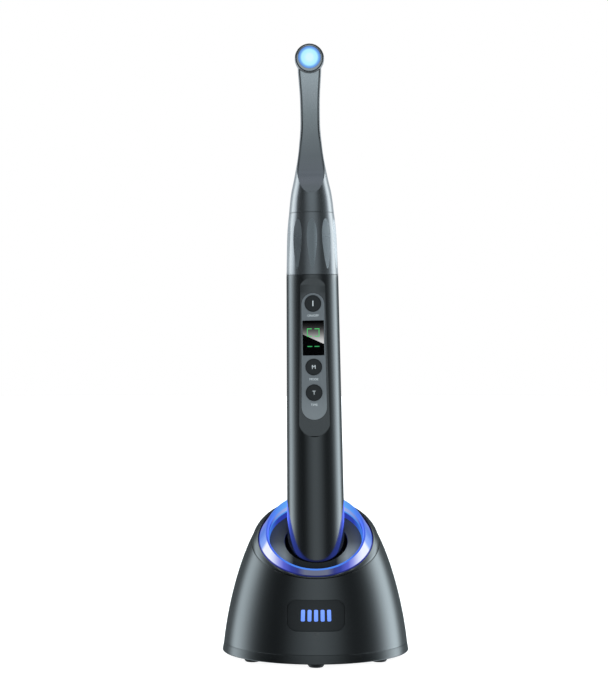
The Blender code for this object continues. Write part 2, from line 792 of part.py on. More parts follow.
def build_charging_board():
    """The charging board on its standoffs, the power inlet and the two spring contacts."""
    block(
        "charging_board",
        (-BOARD_HALF_WIDTH, BOARD_FRONT, BOARD_LOW),
        (BOARD_HALF_WIDTH, BOARD_BACK, BOARD_TOP),
        CIRCUIT_BOARD,
    )
    low = BOARD_TOP + FIT
    back = dome_radius(low) - INLET_SUNK
    inlet = block(
        "power_inlet",
        (-INLET_WIDTH / 2.0, back - INLET_DEPTH, low),
        (INLET_WIDTH / 2.0, back, low + INLET_HEIGHT),
        STEEL,
    )
    mouth = block(
        "inlet_mouth",
        (-INLET_WIDTH / 2.0 + INLET_WALL, back - INLET_MOUTH_DEPTH, low + INLET_WALL),
        (INLET_WIDTH / 2.0 - INLET_WALL, back + OVERSHOOT, low + INLET_HEIGHT - INLET_WALL),
    )
    cut(inlet, mouth)
    tip = SOCKET_BOTTOM + PIN_PROUD
    bore = PIN_RADIUS + SLIDE
    for side, spot in pin_spots().items():
        barrel_top = SOCKET_BOTTOM - 2.0 * FIT
        tube(
            f"{side}_pin_barrel",
            bore + PIN_BARREL_WALL,
            bore,
            BOARD_TOP + FIT,
            barrel_top,
            BRASS,
            SMALL,
            location=spot,
        )
        rod(f"{side}_contact_pin", PIN_RADIUS, tip - PIN_LENGTH, tip, BRASS, SMALL, location=spot)


def build_tray():
    """The bottom tray with the socket's posts, the board's standoffs, its feet and its screws."""
    band_top = FOOT_HEIGHT + TRAY_BAND
    edge = FOOT_HEIGHT + TRAY_EDGE
    profile = (
        (dome_radius(band_top), band_top),
        (dome_radius(edge), edge),
        (BASE_RADIUS - TRAY_EDGE * ROUND_MIDDLE, FOOT_HEIGHT + TRAY_EDGE * ROUND_MIDDLE),
        (BASE_RADIUS - TRAY_EDGE, FOOT_HEIGHT),
        (0.0, FOOT_HEIGHT),
    )
    inner = dome_radius(band_top) - TRAY_WALL
    top = ((0.0, TRAY_TOP), (inner, TRAY_TOP), (inner, band_top))
    tray = turned("base_tray", (top[0], *top[1:], *profile), BLACK_PLASTIC, FINE)
    socket_middle = Vector((PEN_PLACE.x, PEN_PLACE.y, 0.0))
    for number, degrees in enumerate(POST_ANGLES):
        spot = socket_middle + around(POST_CIRCLE, degrees)
        post = rod(
            f"socket_post_{number}",
            POST_RADIUS,
            TRAY_TOP - TRAY_FLOOR / 2.0,
            SOCKET_BOTTOM - SOCKET_FLOOR - FIT,
            segments=SMALL,
            location=spot,
        )
        join(tray, post)
    for x in (-STANDOFF_X, STANDOFF_X):
        for number, y in enumerate(STANDOFF_Y):
            standoff = rod(
                f"standoff_{'left' if x < 0.0 else 'right'}_{number}",
                STANDOFF_RADIUS,
                TRAY_TOP - TRAY_FLOOR / 2.0,
                TRAY_TOP + STANDOFF_HEIGHT,
                segments=SMALL,
                location=(x, y, 0.0),
            )
            join(tray, standoff)
    for number, degrees in enumerate(FOOT_ANGLES, 1):
        spot = around(FOOT_CIRCLE, degrees)
        pocket = rod(
            f"foot_pocket_{number}",
            FOOT_RADIUS + FIT,
            0.0,
            FOOT_HEIGHT + FOOT_SUNK + FIT,
            segments=SMALL,
            location=spot,
        )
        cut(tray, pocket)
        rod(f"foot_{number}", FOOT_RADIUS, 0.0, FOOT_HEIGHT + FOOT_SUNK, RUBBER, SMALL, location=spot)
    head_low = FOOT_HEIGHT + FIT
    head_top = head_low + SCREW_HEAD_HEIGHT
    for number, degrees in enumerate(SCREW_ANGLES, 1):
        spot = around(SCREW_CIRCLE, degrees)
        sink = turned(
            f"screw_sink_{number}",
            (
                (0.0, TRAY_TOP + OVERSHOOT),
                (SCREW_RADIUS + FIT, TRAY_TOP + OVERSHOOT),
                (SCREW_RADIUS + FIT, head_top + FIT),
                (SCREW_HEAD_RADIUS + FIT, head_top + FIT),
                (SCREW_HEAD_RADIUS + FIT, 0.0),
                (0.0, 0.0),
            ),
            segments=SMALL,
            location=spot,
        )
        cut(tray, sink)
        shank_top = FOOT_HEIGHT + SCREW_LENGTH
        profile = (
            (0.0, shank_top),
            (SCREW_RADIUS, shank_top),
            (SCREW_RADIUS, head_top),
            (SCREW_HEAD_RADIUS, head_top),
            (SCREW_HEAD_RADIUS, head_low),
            (0.0, head_low),
        )
        turned(f"base_screw_{number}", profile, STEEL, SMALL, location=spot)


def body_radius(height):
    """Outer radius of the black body."""
    share = (height - BODY_TAPER_START) / (BODY_TOP - BODY_TAPER_START)
    return BODY_LOW_RADIUS + (BODY_TOP_RADIUS - BODY_LOW_RADIUS) * min(max(share, 0.0), 1.0)


def facing_front(height):
    """Places a piece made along +Z with its axis along -Y, at a height on the handpiece."""
    return {
        "parent": HANDPIECE,
        "location": (0.0, 0.0, height),
        "rotation": (math.pi / 2.0, 0.0, 0.0),
    }


def front_stadium(name, width, length, middle, near, far, material=None, segments=12):
    """A round-ended plate on the front of the handpiece, between two depths before its axis."""
    outline = round_rectangle(width, length, (width - STADIUM_LAND) / 2.0, segments)
    return flat_outline(name, outline, near, far, material, **facing_front(middle))


def front_rod(name, radius, near, far, height, material=None, segments=MEDIUM):
    """A round piece along Y on the front of the handpiece, between two depths before its axis."""
    return rod(name, radius, near, far, material, segments, **facing_front(height))


def build_body():
    """The black body tube with its battery, its seal and the end cap with the charging contacts."""
    top = BODY_TOP - FIT / 2.0
    low = CAP_HEIGHT + FIT
    profile = (
        (BODY_TOP_RADIUS, top),
        (BODY_LOW_RADIUS, BODY_TAPER_START),
        (BODY_LOW_RADIUS, low),
        (CELL_BORE, low),
        (CELL_BORE, CELL_BAY_TOP),
        (CORE_BORE, CELL_BAY_TOP),
        (CORE_BORE, top),
    )
    body = turned("body_tube", profile, BLACK_PLASTIC, FINE, parent=HANDPIECE)
    far = BODY_LOW_RADIUS + OVERSHOOT
    ledge = PANEL_WIDTH - 2.0 * PANEL_LEDGE
    flat = front_stadium("panel_flat", FLAT_WIDTH, FLAT_LENGTH, FLAT_MIDDLE, FLAT_DEPTH, far)
    seat = front_stadium(
        "panel_seat",
        PANEL_WIDTH + 2.0 * FIT,
        PANEL_LENGTH + 2.0 * FIT,
        PANEL_MIDDLE,
        PANEL_BACK - FIT,
        far,
    )
    opening = front_stadium(
        "panel_opening",
        ledge,
        PANEL_LENGTH - 2.0 * PANEL_LEDGE,
        PANEL_MIDDLE,
        0.0,
        far,
    )
    cut(body, flat, seat, opening)

    spigot_radius = CELL_BORE - FIT
    spigot_top = CAP_HEIGHT + CAP_SPIGOT
    groove = SEAL_RADIUS + FIT
    ring_middle = CELL_BORE - SEAL_GAP - SEAL_RADIUS
    groove_radius = ring_middle - SEAL_RADIUS - FIT
    profile = (
        (0.0, spigot_top),
        (spigot_radius, spigot_top),
        (spigot_radius, SEAL_HEIGHT + groove),
        (groove_radius, SEAL_HEIGHT + groove),
        (groove_radius, SEAL_HEIGHT - groove),
        (spigot_radius, SEAL_HEIGHT - groove),
        (spigot_radius, CAP_HEIGHT),
        (BODY_LOW_RADIUS, CAP_HEIGHT),
        (BODY_LOW_RADIUS, CAP_ROUND),
        (BODY_LOW_RADIUS - CAP_ROUND * ROUND_MIDDLE, CAP_ROUND * ROUND_MIDDLE),
        (BODY_LOW_RADIUS - CAP_ROUND, 0.0),
        (0.0, 0.0),
    )
    cap = turned("end_cap", profile, BLACK_PLASTIC, ROUND, parent=HANDPIECE)
    contact_top = CONTACT_SUNK + CONTACT_THICK
    pocket_top = contact_top + FIT
    centre = CENTRE_CONTACT_RADIUS
    ring_in = PIN_OFFSET - RING_CONTACT_WIDTH / 2.0
    ring_out = PIN_OFFSET + RING_CONTACT_WIDTH / 2.0
    upright = {"parent": HANDPIECE}
    cut(
        cap,
        rod("centre_contact_pocket", centre + FIT, -OVERSHOOT, pocket_top, **upright),
        tube("ring_contact_pocket", ring_out + FIT, ring_in - FIT, -OVERSHOOT, pocket_top, **upright),
    )
    rod("centre_contact", centre, CONTACT_SUNK, contact_top, BRASS, SMALL, **upright)
    tube("ring_contact", ring_out, ring_in, CONTACT_SUNK, contact_top, BRASS, MEDIUM, **upright)
    torus("cap_seal", ring_middle, SEAL_RADIUS, SEAL_HEIGHT, RUBBER, parent=HANDPIECE)
    pad_low = spigot_top + FIT
    pad_top = pad_low + PAD_THICK
    rod("battery_pad", CELL_RADIUS - FIT, pad_low, pad_top, RUBBER, MEDIUM, parent=HANDPIECE)
    cell_low = pad_top + FIT
    rod("battery_cell", CELL_RADIUS, cell_low, cell_low + CELL_LENGTH, CELL_WRAP, MEDIUM, parent=HANDPIECE)


def build_controls():
    """The control panel with its display and buttons, and the main board with its switches."""
    panel = front_stadium(
        "control_panel", PANEL_WIDTH, PANEL_LENGTH, PANEL_MIDDLE, PANEL_BACK, PANEL_FACE, GREY_PANEL
    )
    half_width = DISPLAY_WIDTH / 2.0
    low = DISPLAY_MIDDLE - DISPLAY_LENGTH / 2.0
    high = DISPLAY_MIDDLE + DISPLAY_LENGTH / 2.0
    window_hole = block(
        "display_hole",
        (-half_width - FIT, -PANEL_FACE - OVERSHOOT, low - FIT),
        (half_width + FIT, -PANEL_BACK + OVERSHOOT, high + FIT),
        parent=HANDPIECE,
    )
    cut(panel, window_hole)
    block(
        "display_window",
        (-half_width, -PANEL_FACE, low),
        (half_width, -PANEL_BACK, high),
        DARK_GLASS,
        parent=HANDPIECE,
    )
    module_half = DISPLAY_MODULE_WIDTH / 2.0
    module_back = PANEL_BACK - FIT - DISPLAY_MODULE_THICK
    block(
        "display_module",
        (-module_half, -PANEL_BACK + FIT, low),
        (module_half, -module_back, high),
        DARK_GLASS,
        parent=HANDPIECE,
    )
    block(
        "display_holder",
        (-module_half, -module_back + FIT, low),
        (module_half, -MAIN_BOARD_FRONT - FIT, high),
        WHITE_PLASTIC,
        parent=HANDPIECE,
    )
    block(
        "main_board",
        (-MAIN_BOARD_HALF_WIDTH, -MAIN_BOARD_FRONT, MAIN_BOARD_LOW),
        (MAIN_BOARD_HALF_WIDTH, -MAIN_BOARD_FRONT + MAIN_BOARD_THICK, MAIN_BOARD_TOP),
        CIRCUIT_BOARD,
        parent=HANDPIECE,
    )
    for name, height in BUTTON_HEIGHTS.items():
        build_button(name, height, panel)


def build_button(name, height, panel):
    """One push button with its switch, and the plunger that it presses."""
    cut(panel, front_rod(f"{name}_hole", BUTTON_RADIUS + SLIDE, 0.0, PANEL_FACE + OVERSHOOT, height))
    face = PANEL_FACE + BUTTON_PROUD
    flange_face = PANEL_BACK - SLIDE
    flange_back = flange_face - BUTTON_FLANGE_THICK
    plunger_tip = SWITCH_FACE + PLUNGER_PROUD
    profile = (
        (0.0, face),
        (BUTTON_RADIUS - BUTTON_CHAMFER, face),
        (BUTTON_RADIUS, face - BUTTON_CHAMFER),
        (BUTTON_RADIUS, flange_face),
        (BUTTON_RADIUS + BUTTON_FLANGE, flange_face),
        (BUTTON_RADIUS + BUTTON_FLANGE, flange_back),
        (BUTTON_STEM, flange_back),
        (BUTTON_STEM, plunger_tip + FIT),
        (0.0, plunger_tip + FIT),
    )
    turned(f"{name}_button", profile, GREY_PANEL, MEDIUM, **facing_front(height))
    half = SWITCH_SIDE / 2.0
    switch = block(
        f"{name}_switch",
        (-half, -SWITCH_FACE, height - half),
        (half, -MAIN_BOARD_FRONT - FIT, height + half),
        STEEL,
        parent=HANDPIECE,
    )
    well = front_rod(
        f"{name}_switch_well",
        PLUNGER_RADIUS + SLIDE,
        plunger_tip - PLUNGER_LENGTH - BUTTON_FLANGE_THICK,
        plunger_tip + OVERSHOOT,
        height,
        segments=SMALL,
    )
    cut(switch, well)
    front_rod(
        f"{name}_plunger",
        PLUNGER_RADIUS,
        plunger_tip - PLUNGER_LENGTH,
        plunger_tip,
        height,
        WHITE_PLASTIC,
        segments=SMALL,
    )


def grip_outline():
    """Profile of the grip's outside, from its top down to the black body."""
    swell = [(radius * MM, GRIP_LOW + rise * MM) for radius, rise in GRIP_SWELL]
    return [(GRIP_TOP_RADIUS, GRIP_TOP), *swell, (BODY_TOP_RADIUS, GRIP_LOW)]


def grip_radius(height):
    """Outer radius of the grip at a height, before its flats."""
    outline = grip_outline()
    for (upper, top), (lower, bottom) in zip(outline, outline[1:]):
        if bottom <= height <= top:
            return lower + (upper - lower) * (height - bottom) / (top - bottom)
    return BODY_TOP_RADIUS


def build_grip():
    """The metal grip with its finger flats, the swivel bush inside it and the stop pin."""
    outside = grip_outline()
    low = GRIP_LOW
    spigot_radius = CORE_BORE - FIT
    spigot_bore = spigot_radius - GRIP_SPIGOT_WALL
    shoulder_bore = TAIL_RADIUS + FIT
    shoulder_low = SWIVEL_SHOULDER - SWIVEL_SHOULDER_HEIGHT
    spigot_low = low - GRIP_SPIGOT
    profile = outside + [
        (spigot_radius, low),
        (spigot_radius, spigot_low),
        (spigot_bore, spigot_low),
        (spigot_bore, low + FIT),
        (SWIVEL_BORE, low + 2.0 * FIT),
        (SWIVEL_BORE, shoulder_low),
        (shoulder_bore, shoulder_low),
        (shoulder_bore, SWIVEL_SHOULDER),
        (SWIVEL_BORE, SWIVEL_SHOULDER),
        (SWIVEL_BORE, GRIP_TOP),
    ]
    grip = turned("grip_sleeve", profile, GUNMETAL, FINE, parent=HANDPIECE)
    middle_radius = grip_radius(GRIP_FLAT_MIDDLE)
    half = GRIP_FLAT_LENGTH / 2.0 + OVERSHOOT
    for number in range(GRIP_FLATS):
        spin = Matrix.Rotation(2.0 * math.pi * number / GRIP_FLATS, 4, "Z")
        tilt = Matrix.Rotation(-GRIP_FLAT_SLOPE, 4, "X")
        flat = block(
            f"finger_flat_{number}",
            (-OVERSHOOT, -2.0 * OVERSHOOT, -half),
            (OVERSHOOT, 0.0, half),
            parent=HANDPIECE,
        )
        seat = Vector((0.0, -middle_radius + GRIP_FLAT_DEPTH, GRIP_FLAT_MIDDLE))
        flat.matrix_local = spin @ Matrix.Translation(seat) @ tilt
        cut(grip, flat)
    backward = {
        "parent": HANDPIECE,
        "location": (0.0, 0.0, STOP_HEIGHT),
        "rotation": (-math.pi / 2.0, 0.0, 0.0),
    }
    hole_end = STOP_REACH + FIT
    cut(grip, rod("stop_hole", STOP_RADIUS + FIT, TAIL_RADIUS, hole_end, segments=SMALL, **backward))
    rod("stop_pin", STOP_RADIUS, TAIL_RADIUS + FIT, STOP_REACH, STEEL, SMALL, **backward)
    bush_low = SWIVEL_SHOULDER + FIT
    tube(
        "swivel_bush",
        SWIVEL_BORE - FIT,
        TAIL_RADIUS + SLIDE,
        bush_low,
        bush_low + BUSH_LENGTH,
        BRASS,
        parent=HANDPIECE,
    )
    route = [(depth, GRIP_LOW / MM + rise) for depth, rise in BOARD_LEAD_TOP]
    route += [(depth, MAIN_BOARD_TOP / MM + rise) for depth, rise in BOARD_LEAD_END]
    wire("board_lead", route, LEAD_RADIUS, CABLE, parent=HANDPIECE)


def neck_height(share):
    """Height of a point on the neck by its share of the neck's length."""
    return TAIL_TOP + share * NECK_LENGTH


def neck_loop(height, half_width, half_depth, middle):
    """One oval section of the neck."""
    points = []
    for angle in angles(NECK_SIDES):
        points.append(
            Vector((half_width * math.cos(angle), middle + half_depth * math.sin(angle), height))
        )
    return points


def build_neck():
    """The metal neck: a lofted shell with a scooped front, its tail in the swivel and its lit head."""
    tail = [neck_loop(TAIL_LOW, TAIL_RADIUS, TAIL_RADIUS, 0.0)]
    tail.append(neck_loop(TAIL_TOP, TAIL_RADIUS, TAIL_RADIUS, 0.0))
    seat = neck_loop(TAIL_TOP, GRIP_TOP_RADIUS, GRIP_TOP_RADIUS, 0.0)
    sections = []
    for share, half_width, half_depth, middle in NECK_SECTIONS:
        sections.append(neck_loop(neck_height(share), half_width * MM, half_depth * MM, middle * MM))
    neck = loft("neck_shell", [*tail, seat, *sections], GUNMETAL, parent=HANDPIECE)

    curve = [Vector((depth * MM, neck_height(share))) for share, depth in SCOOP]
    front = -BODY_LOW_RADIUS - OVERSHOOT
    outline = [(point.x, point.y) for point in curve]
    outline += [(front, curve[-1].y), (front, curve[0].y)]
    scoop = flat_outline(
        "neck_scoop",
        outline,
        -BODY_LOW_RADIUS,
        BODY_LOW_RADIUS,
        parent=HANDPIECE,
        rotation=(math.pi / 2.0, 0.0, math.pi / 2.0),
    )
    head = turned("head_barrel", head_outline(), None, MEDIUM, **facing_front(HEAD_HEIGHT))
    bore_mouth = HEAD_FACE + OVERSHOOT
    bore = front_rod("head_bore", HEAD_BORE, HEAD_BORE_END, bore_mouth, HEAD_HEIGHT, segments=ROUND)
    channel_route = [(depth, neck_height(share) / MM) for depth, share in LEAD_ROUTE]
    channel_low = neck_height(LEAD_ROUTE[0][1])
    tail_bore = rod(
        "tail_bore", TAIL_BORE, TAIL_LOW - OVERSHOOT, channel_low + LEAD_RADIUS, parent=HANDPIECE
    )
    channel = wire("wiring_channel", channel_route, CHANNEL_RADIUS, parent=HANDPIECE)
    cut(neck, scoop)
    join(neck, head)
    cut(neck, bore, tail_bore, channel)

    seal_middle = TAIL_RADIUS + SLIDE
    seal_groove = NECK_SEAL_SUNK + FIT
    cut(
        neck,
        tube(
            "neck_seal_groove",
            SWIVEL_BORE,
            seal_middle - SEAL_RADIUS - FIT,
            NECK_SEAL_HEIGHT - seal_groove,
            NECK_SEAL_HEIGHT + seal_groove,
            parent=HANDPIECE,
        ),
    )
    torus("neck_seal", seal_middle, SEAL_RADIUS, NECK_SEAL_HEIGHT, RUBBER, parent=HANDPIECE)
    clip_out = SWIVEL_BORE - SLIDE
    clip_in = clip_out - CLIP_WIDTH
    clip_top = SWIVEL_SHOULDER - SWIVEL_SHOULDER_HEIGHT - SLIDE
    cut(
        neck,
        tube(
            "clip_groove",
            SWIVEL_BORE,
            clip_in - FIT,
            clip_top - CLIP_THICK - FIT,
            clip_top + FIT,
            parent=HANDPIECE,
        ),
    )
    tube("retaining_clip", clip_out, clip_in, clip_top - CLIP_THICK, clip_top, STEEL, parent=HANDPIECE)
    lug = block(
        "stop_lug",
        (-LUG_THICK / 2.0, -SWIVEL_BORE + SLIDE, STOP_HEIGHT - STOP_RADIUS),
        (LUG_THICK / 2.0, -TAIL_BORE - FIT, STOP_HEIGHT + STOP_RADIUS),
        parent=HANDPIECE,
    )
    join(neck, lug)
    grommet_low = TAIL_LOW + FIT
    tube(
        "lead_grommet",
        TAIL_BORE - FIT,
        LEAD_RADIUS + FIT,
        grommet_low,
        grommet_low + GROMMET_LENGTH,
        RUBBER,
        SMALL,
        parent=HANDPIECE,
    )
    straight = (TAIL_LOW, grommet_low + GROMMET_LENGTH, LEAD_STRAIGHT_TOP)
    lead_route = [(0.0, height / MM) for height in straight]
    lead_route += [*channel_route[:-1], (0.0, (HEAD_HEIGHT - LEAD_END_DROP) / MM)]
    wire("led_lead", lead_route, LEAD_RADIUS, CABLE, parent=HANDPIECE)


def head_outline():
    """Profile of the head's barrel, from its face to its domed back."""
    sides = [(radius * MM, depth * MM) for radius, depth in (*HEAD_SIDES, HEAD_BACK_ROUND)]
    return [(0.0, HEAD_FACE), (HEAD_FACE_RADIUS, HEAD_FACE), *sides, (0.0, -HEAD_BACK)]


def build_head():
    """The lens, its bezel, the reflector and the light-emitting chip on its board."""
    outer = LENS_FLANGE_RADIUS
    bezel_back = HEAD_FACE - BEZEL_THICK
    tube("lens_bezel", outer, BEZEL_INNER, bezel_back, HEAD_FACE, STEEL, ROUND, **facing_front(HEAD_HEIGHT))
    flange_front = bezel_back - FIT
    flange_back = flange_front - LENS_FLANGE_THICK
    glass = BEZEL_INNER - FIT
    crown = HEAD_FACE - LENS_SUNK
    profile = [(glass * share, crown - LENS_CROWN * share**2) for share in (0.0, 0.5, 1.0)]
    profile += [(glass, flange_front), (outer, flange_front), (outer, flange_back), (0.0, flange_back)]
    turned("lens", profile, LENS_GLASS, MEDIUM, **facing_front(HEAD_HEIGHT))
    reflector_front = flange_back - FIT
    reflector_back = reflector_front - REFLECTOR_THICK
    profile = (
        (outer, reflector_front),
        (outer, reflector_back),
        (REFLECTOR_THROAT, reflector_back),
        (REFLECTOR_MOUTH, reflector_front),
    )
    turned("reflector", profile, STEEL, MEDIUM, **facing_front(HEAD_HEIGHT))
    board_front = reflector_back - FIT
    front_rod("led_board", outer, board_front - LED_BOARD_THICK, board_front, HEAD_HEIGHT, BRASS)
    half = EMITTER_SIDE / 2.0
    emitter_back = board_front + FIT
    block(
        "led_emitter",
        (-half, -half, emitter_back),
        (half, half, emitter_back + EMITTER_THICK),
        LENS_GLASS,
        **facing_front(HEAD_HEIGHT),
    )


def build_label():
    """The plain dark panel let into the front of the dome."""
    label_blank("front_panel", -LABEL_SUNK, -LABEL_SUNK - LABEL_THICK, 0.0, DARK_GLASS)


build_base_shell()
build_label()
build_rim_and_ring()
build_cradle()
build_charging_board()
build_tray()
build_body()
build_controls()
build_grip()
build_neck()
build_head()
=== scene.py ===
"""Dresses the curing light: fine shells, a lit ring and lens, printed controls and studio light.

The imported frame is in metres, +Z up, with the front of the handpiece towards -Y. Shapes are drawn in
millimetres, as on a maker's drawing, and are brought to metres when a piece is delivered.
"""

import logging
import math
from collections.abc import Callable, Iterable, Sequence
from dataclasses import dataclass, replace
from enum import Enum
from functools import cache

import bmesh
import bpy
from mathutils import Matrix, Vector


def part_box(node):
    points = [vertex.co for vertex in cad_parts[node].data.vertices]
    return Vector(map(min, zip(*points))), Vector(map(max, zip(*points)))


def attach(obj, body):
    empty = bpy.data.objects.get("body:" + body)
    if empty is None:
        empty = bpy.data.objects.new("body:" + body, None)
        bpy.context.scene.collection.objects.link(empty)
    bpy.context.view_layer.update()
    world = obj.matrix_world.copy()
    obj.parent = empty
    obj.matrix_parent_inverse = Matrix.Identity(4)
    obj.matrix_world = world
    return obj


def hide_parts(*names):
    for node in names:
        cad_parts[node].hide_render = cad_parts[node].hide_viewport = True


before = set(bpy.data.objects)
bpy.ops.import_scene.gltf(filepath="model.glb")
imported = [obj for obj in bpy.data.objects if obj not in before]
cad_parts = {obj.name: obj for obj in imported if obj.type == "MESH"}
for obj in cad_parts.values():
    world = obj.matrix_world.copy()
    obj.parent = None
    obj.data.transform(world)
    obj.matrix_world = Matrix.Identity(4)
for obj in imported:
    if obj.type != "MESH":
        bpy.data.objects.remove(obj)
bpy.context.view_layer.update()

LOG = logging.getLogger("curing_light")

Thing = bpy.types.Object
Node = bpy.types.Node
Socket = bpy.types.NodeSocket
Outline = list[tuple[float, float]]
Colour = tuple[float, float, float]
Stops = tuple[tuple[float, Colour], ...]

MM = 0.001
TO_METRES = Matrix.Scale(MM, 4)
FACING_FRONT = Matrix.Rotation(math.pi / 2.0, 4, "X")
PEN = Matrix.Translation((0.6, -11.2, 14.0)) @ Matrix.Rotation(math.radians(-0.8), 4, "Y")
POLE = 1e-6
WELD = 0.0005
ROUND_LIMIT = 0.45
MIX_FACTOR, MIX_FIRST, MIX_SECOND, MIX_COLOUR = 0, 6, 7, 2
FINE = 160
ROUND = 96
SMALL = 48


class Body(Enum):
    """The moving bodies of the frame."""

    BASE = "base"
    CENTRE_PIN = "centre_pin"
    OUTER_PIN = "outer_pin"
    HANDPIECE = "handpiece"
    NECK = "neck"
    POWER = "power_button"
    MODE = "mode_button"
    TIME = "time_button"


class Run(Enum):
    """The way in which a change of colour runs over a piece."""

    ROUND = "round"
    ACROSS = "X"
    DEPTH = "Y"
    HEIGHT = "Z"


class Bench:
    """A node tree with short ways to add and link nodes.

    Args:
        tree: The node tree to work on.
    """

    def __init__(self, tree: bpy.types.NodeTree) -> None:
        """Keeps the tree."""
        self.tree = tree

    def add(self, kind: str, feeds: dict | None = None, **settings: object) -> Node:
        """Adds a node.

        Args:
            kind: Blender's name of the node type.
            feeds: Input sockets by name or number, each with a value or the socket that feeds it.
            settings: Properties of the node itself.

        Returns:
            The new node.
        """
        node = self.tree.nodes.new(kind)
        for key, value in settings.items():
            setattr(node, key, value)
        for key, value in (feeds or {}).items():
            if isinstance(value, Socket):
                self.tree.links.new(value, node.inputs[key])
            else:
                node.inputs[key].default_value = value
        return node

    def work_out(self, operation: str, *values: Socket | float) -> Socket:
        """Adds a Math node and gives its result."""
        return self.add("ShaderNodeMath", dict(enumerate(values)), operation=operation).outputs[0]

    def remap(
        self, value: Socket, low: float, high: float, ends: Sequence[Socket | float] = (0.0, 1.0)
    ) -> Socket:
        """Maps the range from low to high to other ends, and holds values past it level.

        Args:
            value: The value to map.
            low: Start of its range.
            high: End of its range.
            ends: What the range's start and end become.

        Returns:
            The mapped value.
        """
        feeds = {"Value": value, "From Min": low, "From Max": high, "To Min": ends[0], "To Max": ends[1]}
        return self.add("ShaderNodeMapRange", feeds).outputs[0]

    def mix(self, factor: Socket, first: Socket | Colour, second: Socket | Colour) -> Socket:
        """Mixes two colours.

        Args:
            factor: The second colour's share.
            first: The colour at no share.
            second: The colour at full share.

        Returns:
            The mixed colour.
        """
        feeds: dict[int, object] = {MIX_FACTOR: factor}
        for place, colour in ((MIX_FIRST, first), (MIX_SECOND, second)):
            feeds[place] = colour if isinstance(colour, Socket) else (*colour, 1.0)
        return self.add("ShaderNodeMix", feeds, data_type="RGBA").outputs[MIX_COLOUR]

    def ramp(self, factor: Socket, stops: Stops) -> Socket:
        """Adds a colour ramp.

        Args:
            factor: The value that picks the colour.
            stops: Places from 0 to 1 with their colours.

        Returns:
            The ramp's colour socket.
        """
        node = self.add("ShaderNodeValToRGB", {"Fac": factor})
        elements = node.color_ramp.elements
        while len(elements) < len(stops):
            elements.new(1.0)
        for element, (place, colour) in zip(elements, stops):
            element.position = place
            element.color = (*colour, 1.0)
        return node.outputs["Color"]


class Effects:
    """Surface effects that several finishes share, each built once as a shader node group."""

    @staticmethod
    def start(name: str, inputs: Iterable[str], outputs: Iterable[str]) -> tuple[Bench, dict, Node]:
        """Starts a node group of plain values.

        Args:
            name: The group's name.
            inputs: Names of its input values.
            outputs: Names of its output values.

        Returns:
            The group's bench, its input sockets by name and its output node.
        """
        tree = bpy.data.node_groups.new(name, "ShaderNodeTree")
        for label in inputs:
            tree.interface.new_socket(label, in_out="INPUT", socket_type="NodeSocketFloat")
        for label in outputs:
            tree.interface.new_socket(label, in_out="OUTPUT", socket_type="NodeSocketFloat")
        bench = Bench(tree)
        given = {socket.name: socket for socket in bench.add("NodeGroupInput").outputs}
        return bench, given, bench.add("NodeGroupOutput")

    @staticmethod
    @cache
    def grain() -> bpy.types.NodeTree:
        """Fine grain as a height, with a slow change of tone, stretched by a share along the height.

        Returns:
            The group: its Height and its Tone.
        """
        bench, given, end = Effects.start("fine_grain", ("Scale", "Stretch"), ("Height", "Tone"))
        slowness = 0.05
        place = bench.add("ShaderNodeTexCoord").outputs["Object"]
        parts = bench.add("ShaderNodeSeparateXYZ", {0: place}).outputs
        tall = bench.work_out("MULTIPLY", parts["Z"], given["Stretch"])
        drawn = bench.add("ShaderNodeCombineXYZ", {"X": parts["X"], "Y": parts["Y"], "Z": tall}).outputs[0]
        fine = bench.add("ShaderNodeTexNoise", {"Vector": drawn, "Scale": given["Scale"], "Detail": 4.0})
        slow_scale = bench.work_out("MULTIPLY", given["Scale"], slowness)
        slow = bench.add("ShaderNodeTexNoise", {"Vector": drawn, "Scale": slow_scale, "Detail": 3.0})
        bench.tree.links.new(fine.outputs["Fac"], end.inputs["Height"])
        bench.tree.links.new(slow.outputs["Fac"], end.inputs["Tone"])
        return bench.tree

    @staticmethod
    @cache
    def haze() -> bpy.types.NodeTree:
        """Cloudy patches of gloss, as left by handling and wiping, between two roughness values.

        Returns:
            The group: its Roughness.
        """
        bench, given, end = Effects.start("handling_haze", ("Scale", "Low", "High"), ("Roughness",))
        place = bench.add("ShaderNodeTexCoord").outputs["Object"]
        feeds = {"Vector": place, "Scale": given["Scale"], "Detail": 5.0, "Roughness": 0.6}
        cloud = bench.add("ShaderNodeTexNoise", feeds)
        clear, hazy = 0.35, 0.68
        spread = bench.remap(cloud.outputs["Fac"], clear, hazy, (given["Low"], given["High"]))
        bench.tree.links.new(spread, end.inputs["Roughness"])
        return bench.tree

    @staticmethod
    @cache
    def wear() -> bpy.types.NodeTree:
        """A mask along outer edges, broken up so that the rubbed edge is uneven.

        Returns:
            The group: its Mask.
        """
        bench, given, end = Effects.start("edge_wear", ("Amount",), ("Mask",))
        blunt, keen = 0.53, 0.62
        patch_low, patch_high, least_wear = 0.4, 0.6, 0.2
        edge = bench.add("ShaderNodeNewGeometry").outputs["Pointiness"]
        sharp = bench.remap(edge, blunt, keen)
        place = bench.add("ShaderNodeTexCoord").outputs["Object"]
        patchy = bench.add("ShaderNodeTexNoise", {"Vector": place, "Scale": 900.0, "Detail": 3.0})
        broken = bench.remap(patchy.outputs["Fac"], patch_low, patch_high, (least_wear, 1.0))
        mask = bench.work_out("MULTIPLY", sharp, broken)
        bench.tree.links.new(bench.work_out("MULTIPLY", mask, given["Amount"]), end.inputs["Mask"])
        return bench.tree


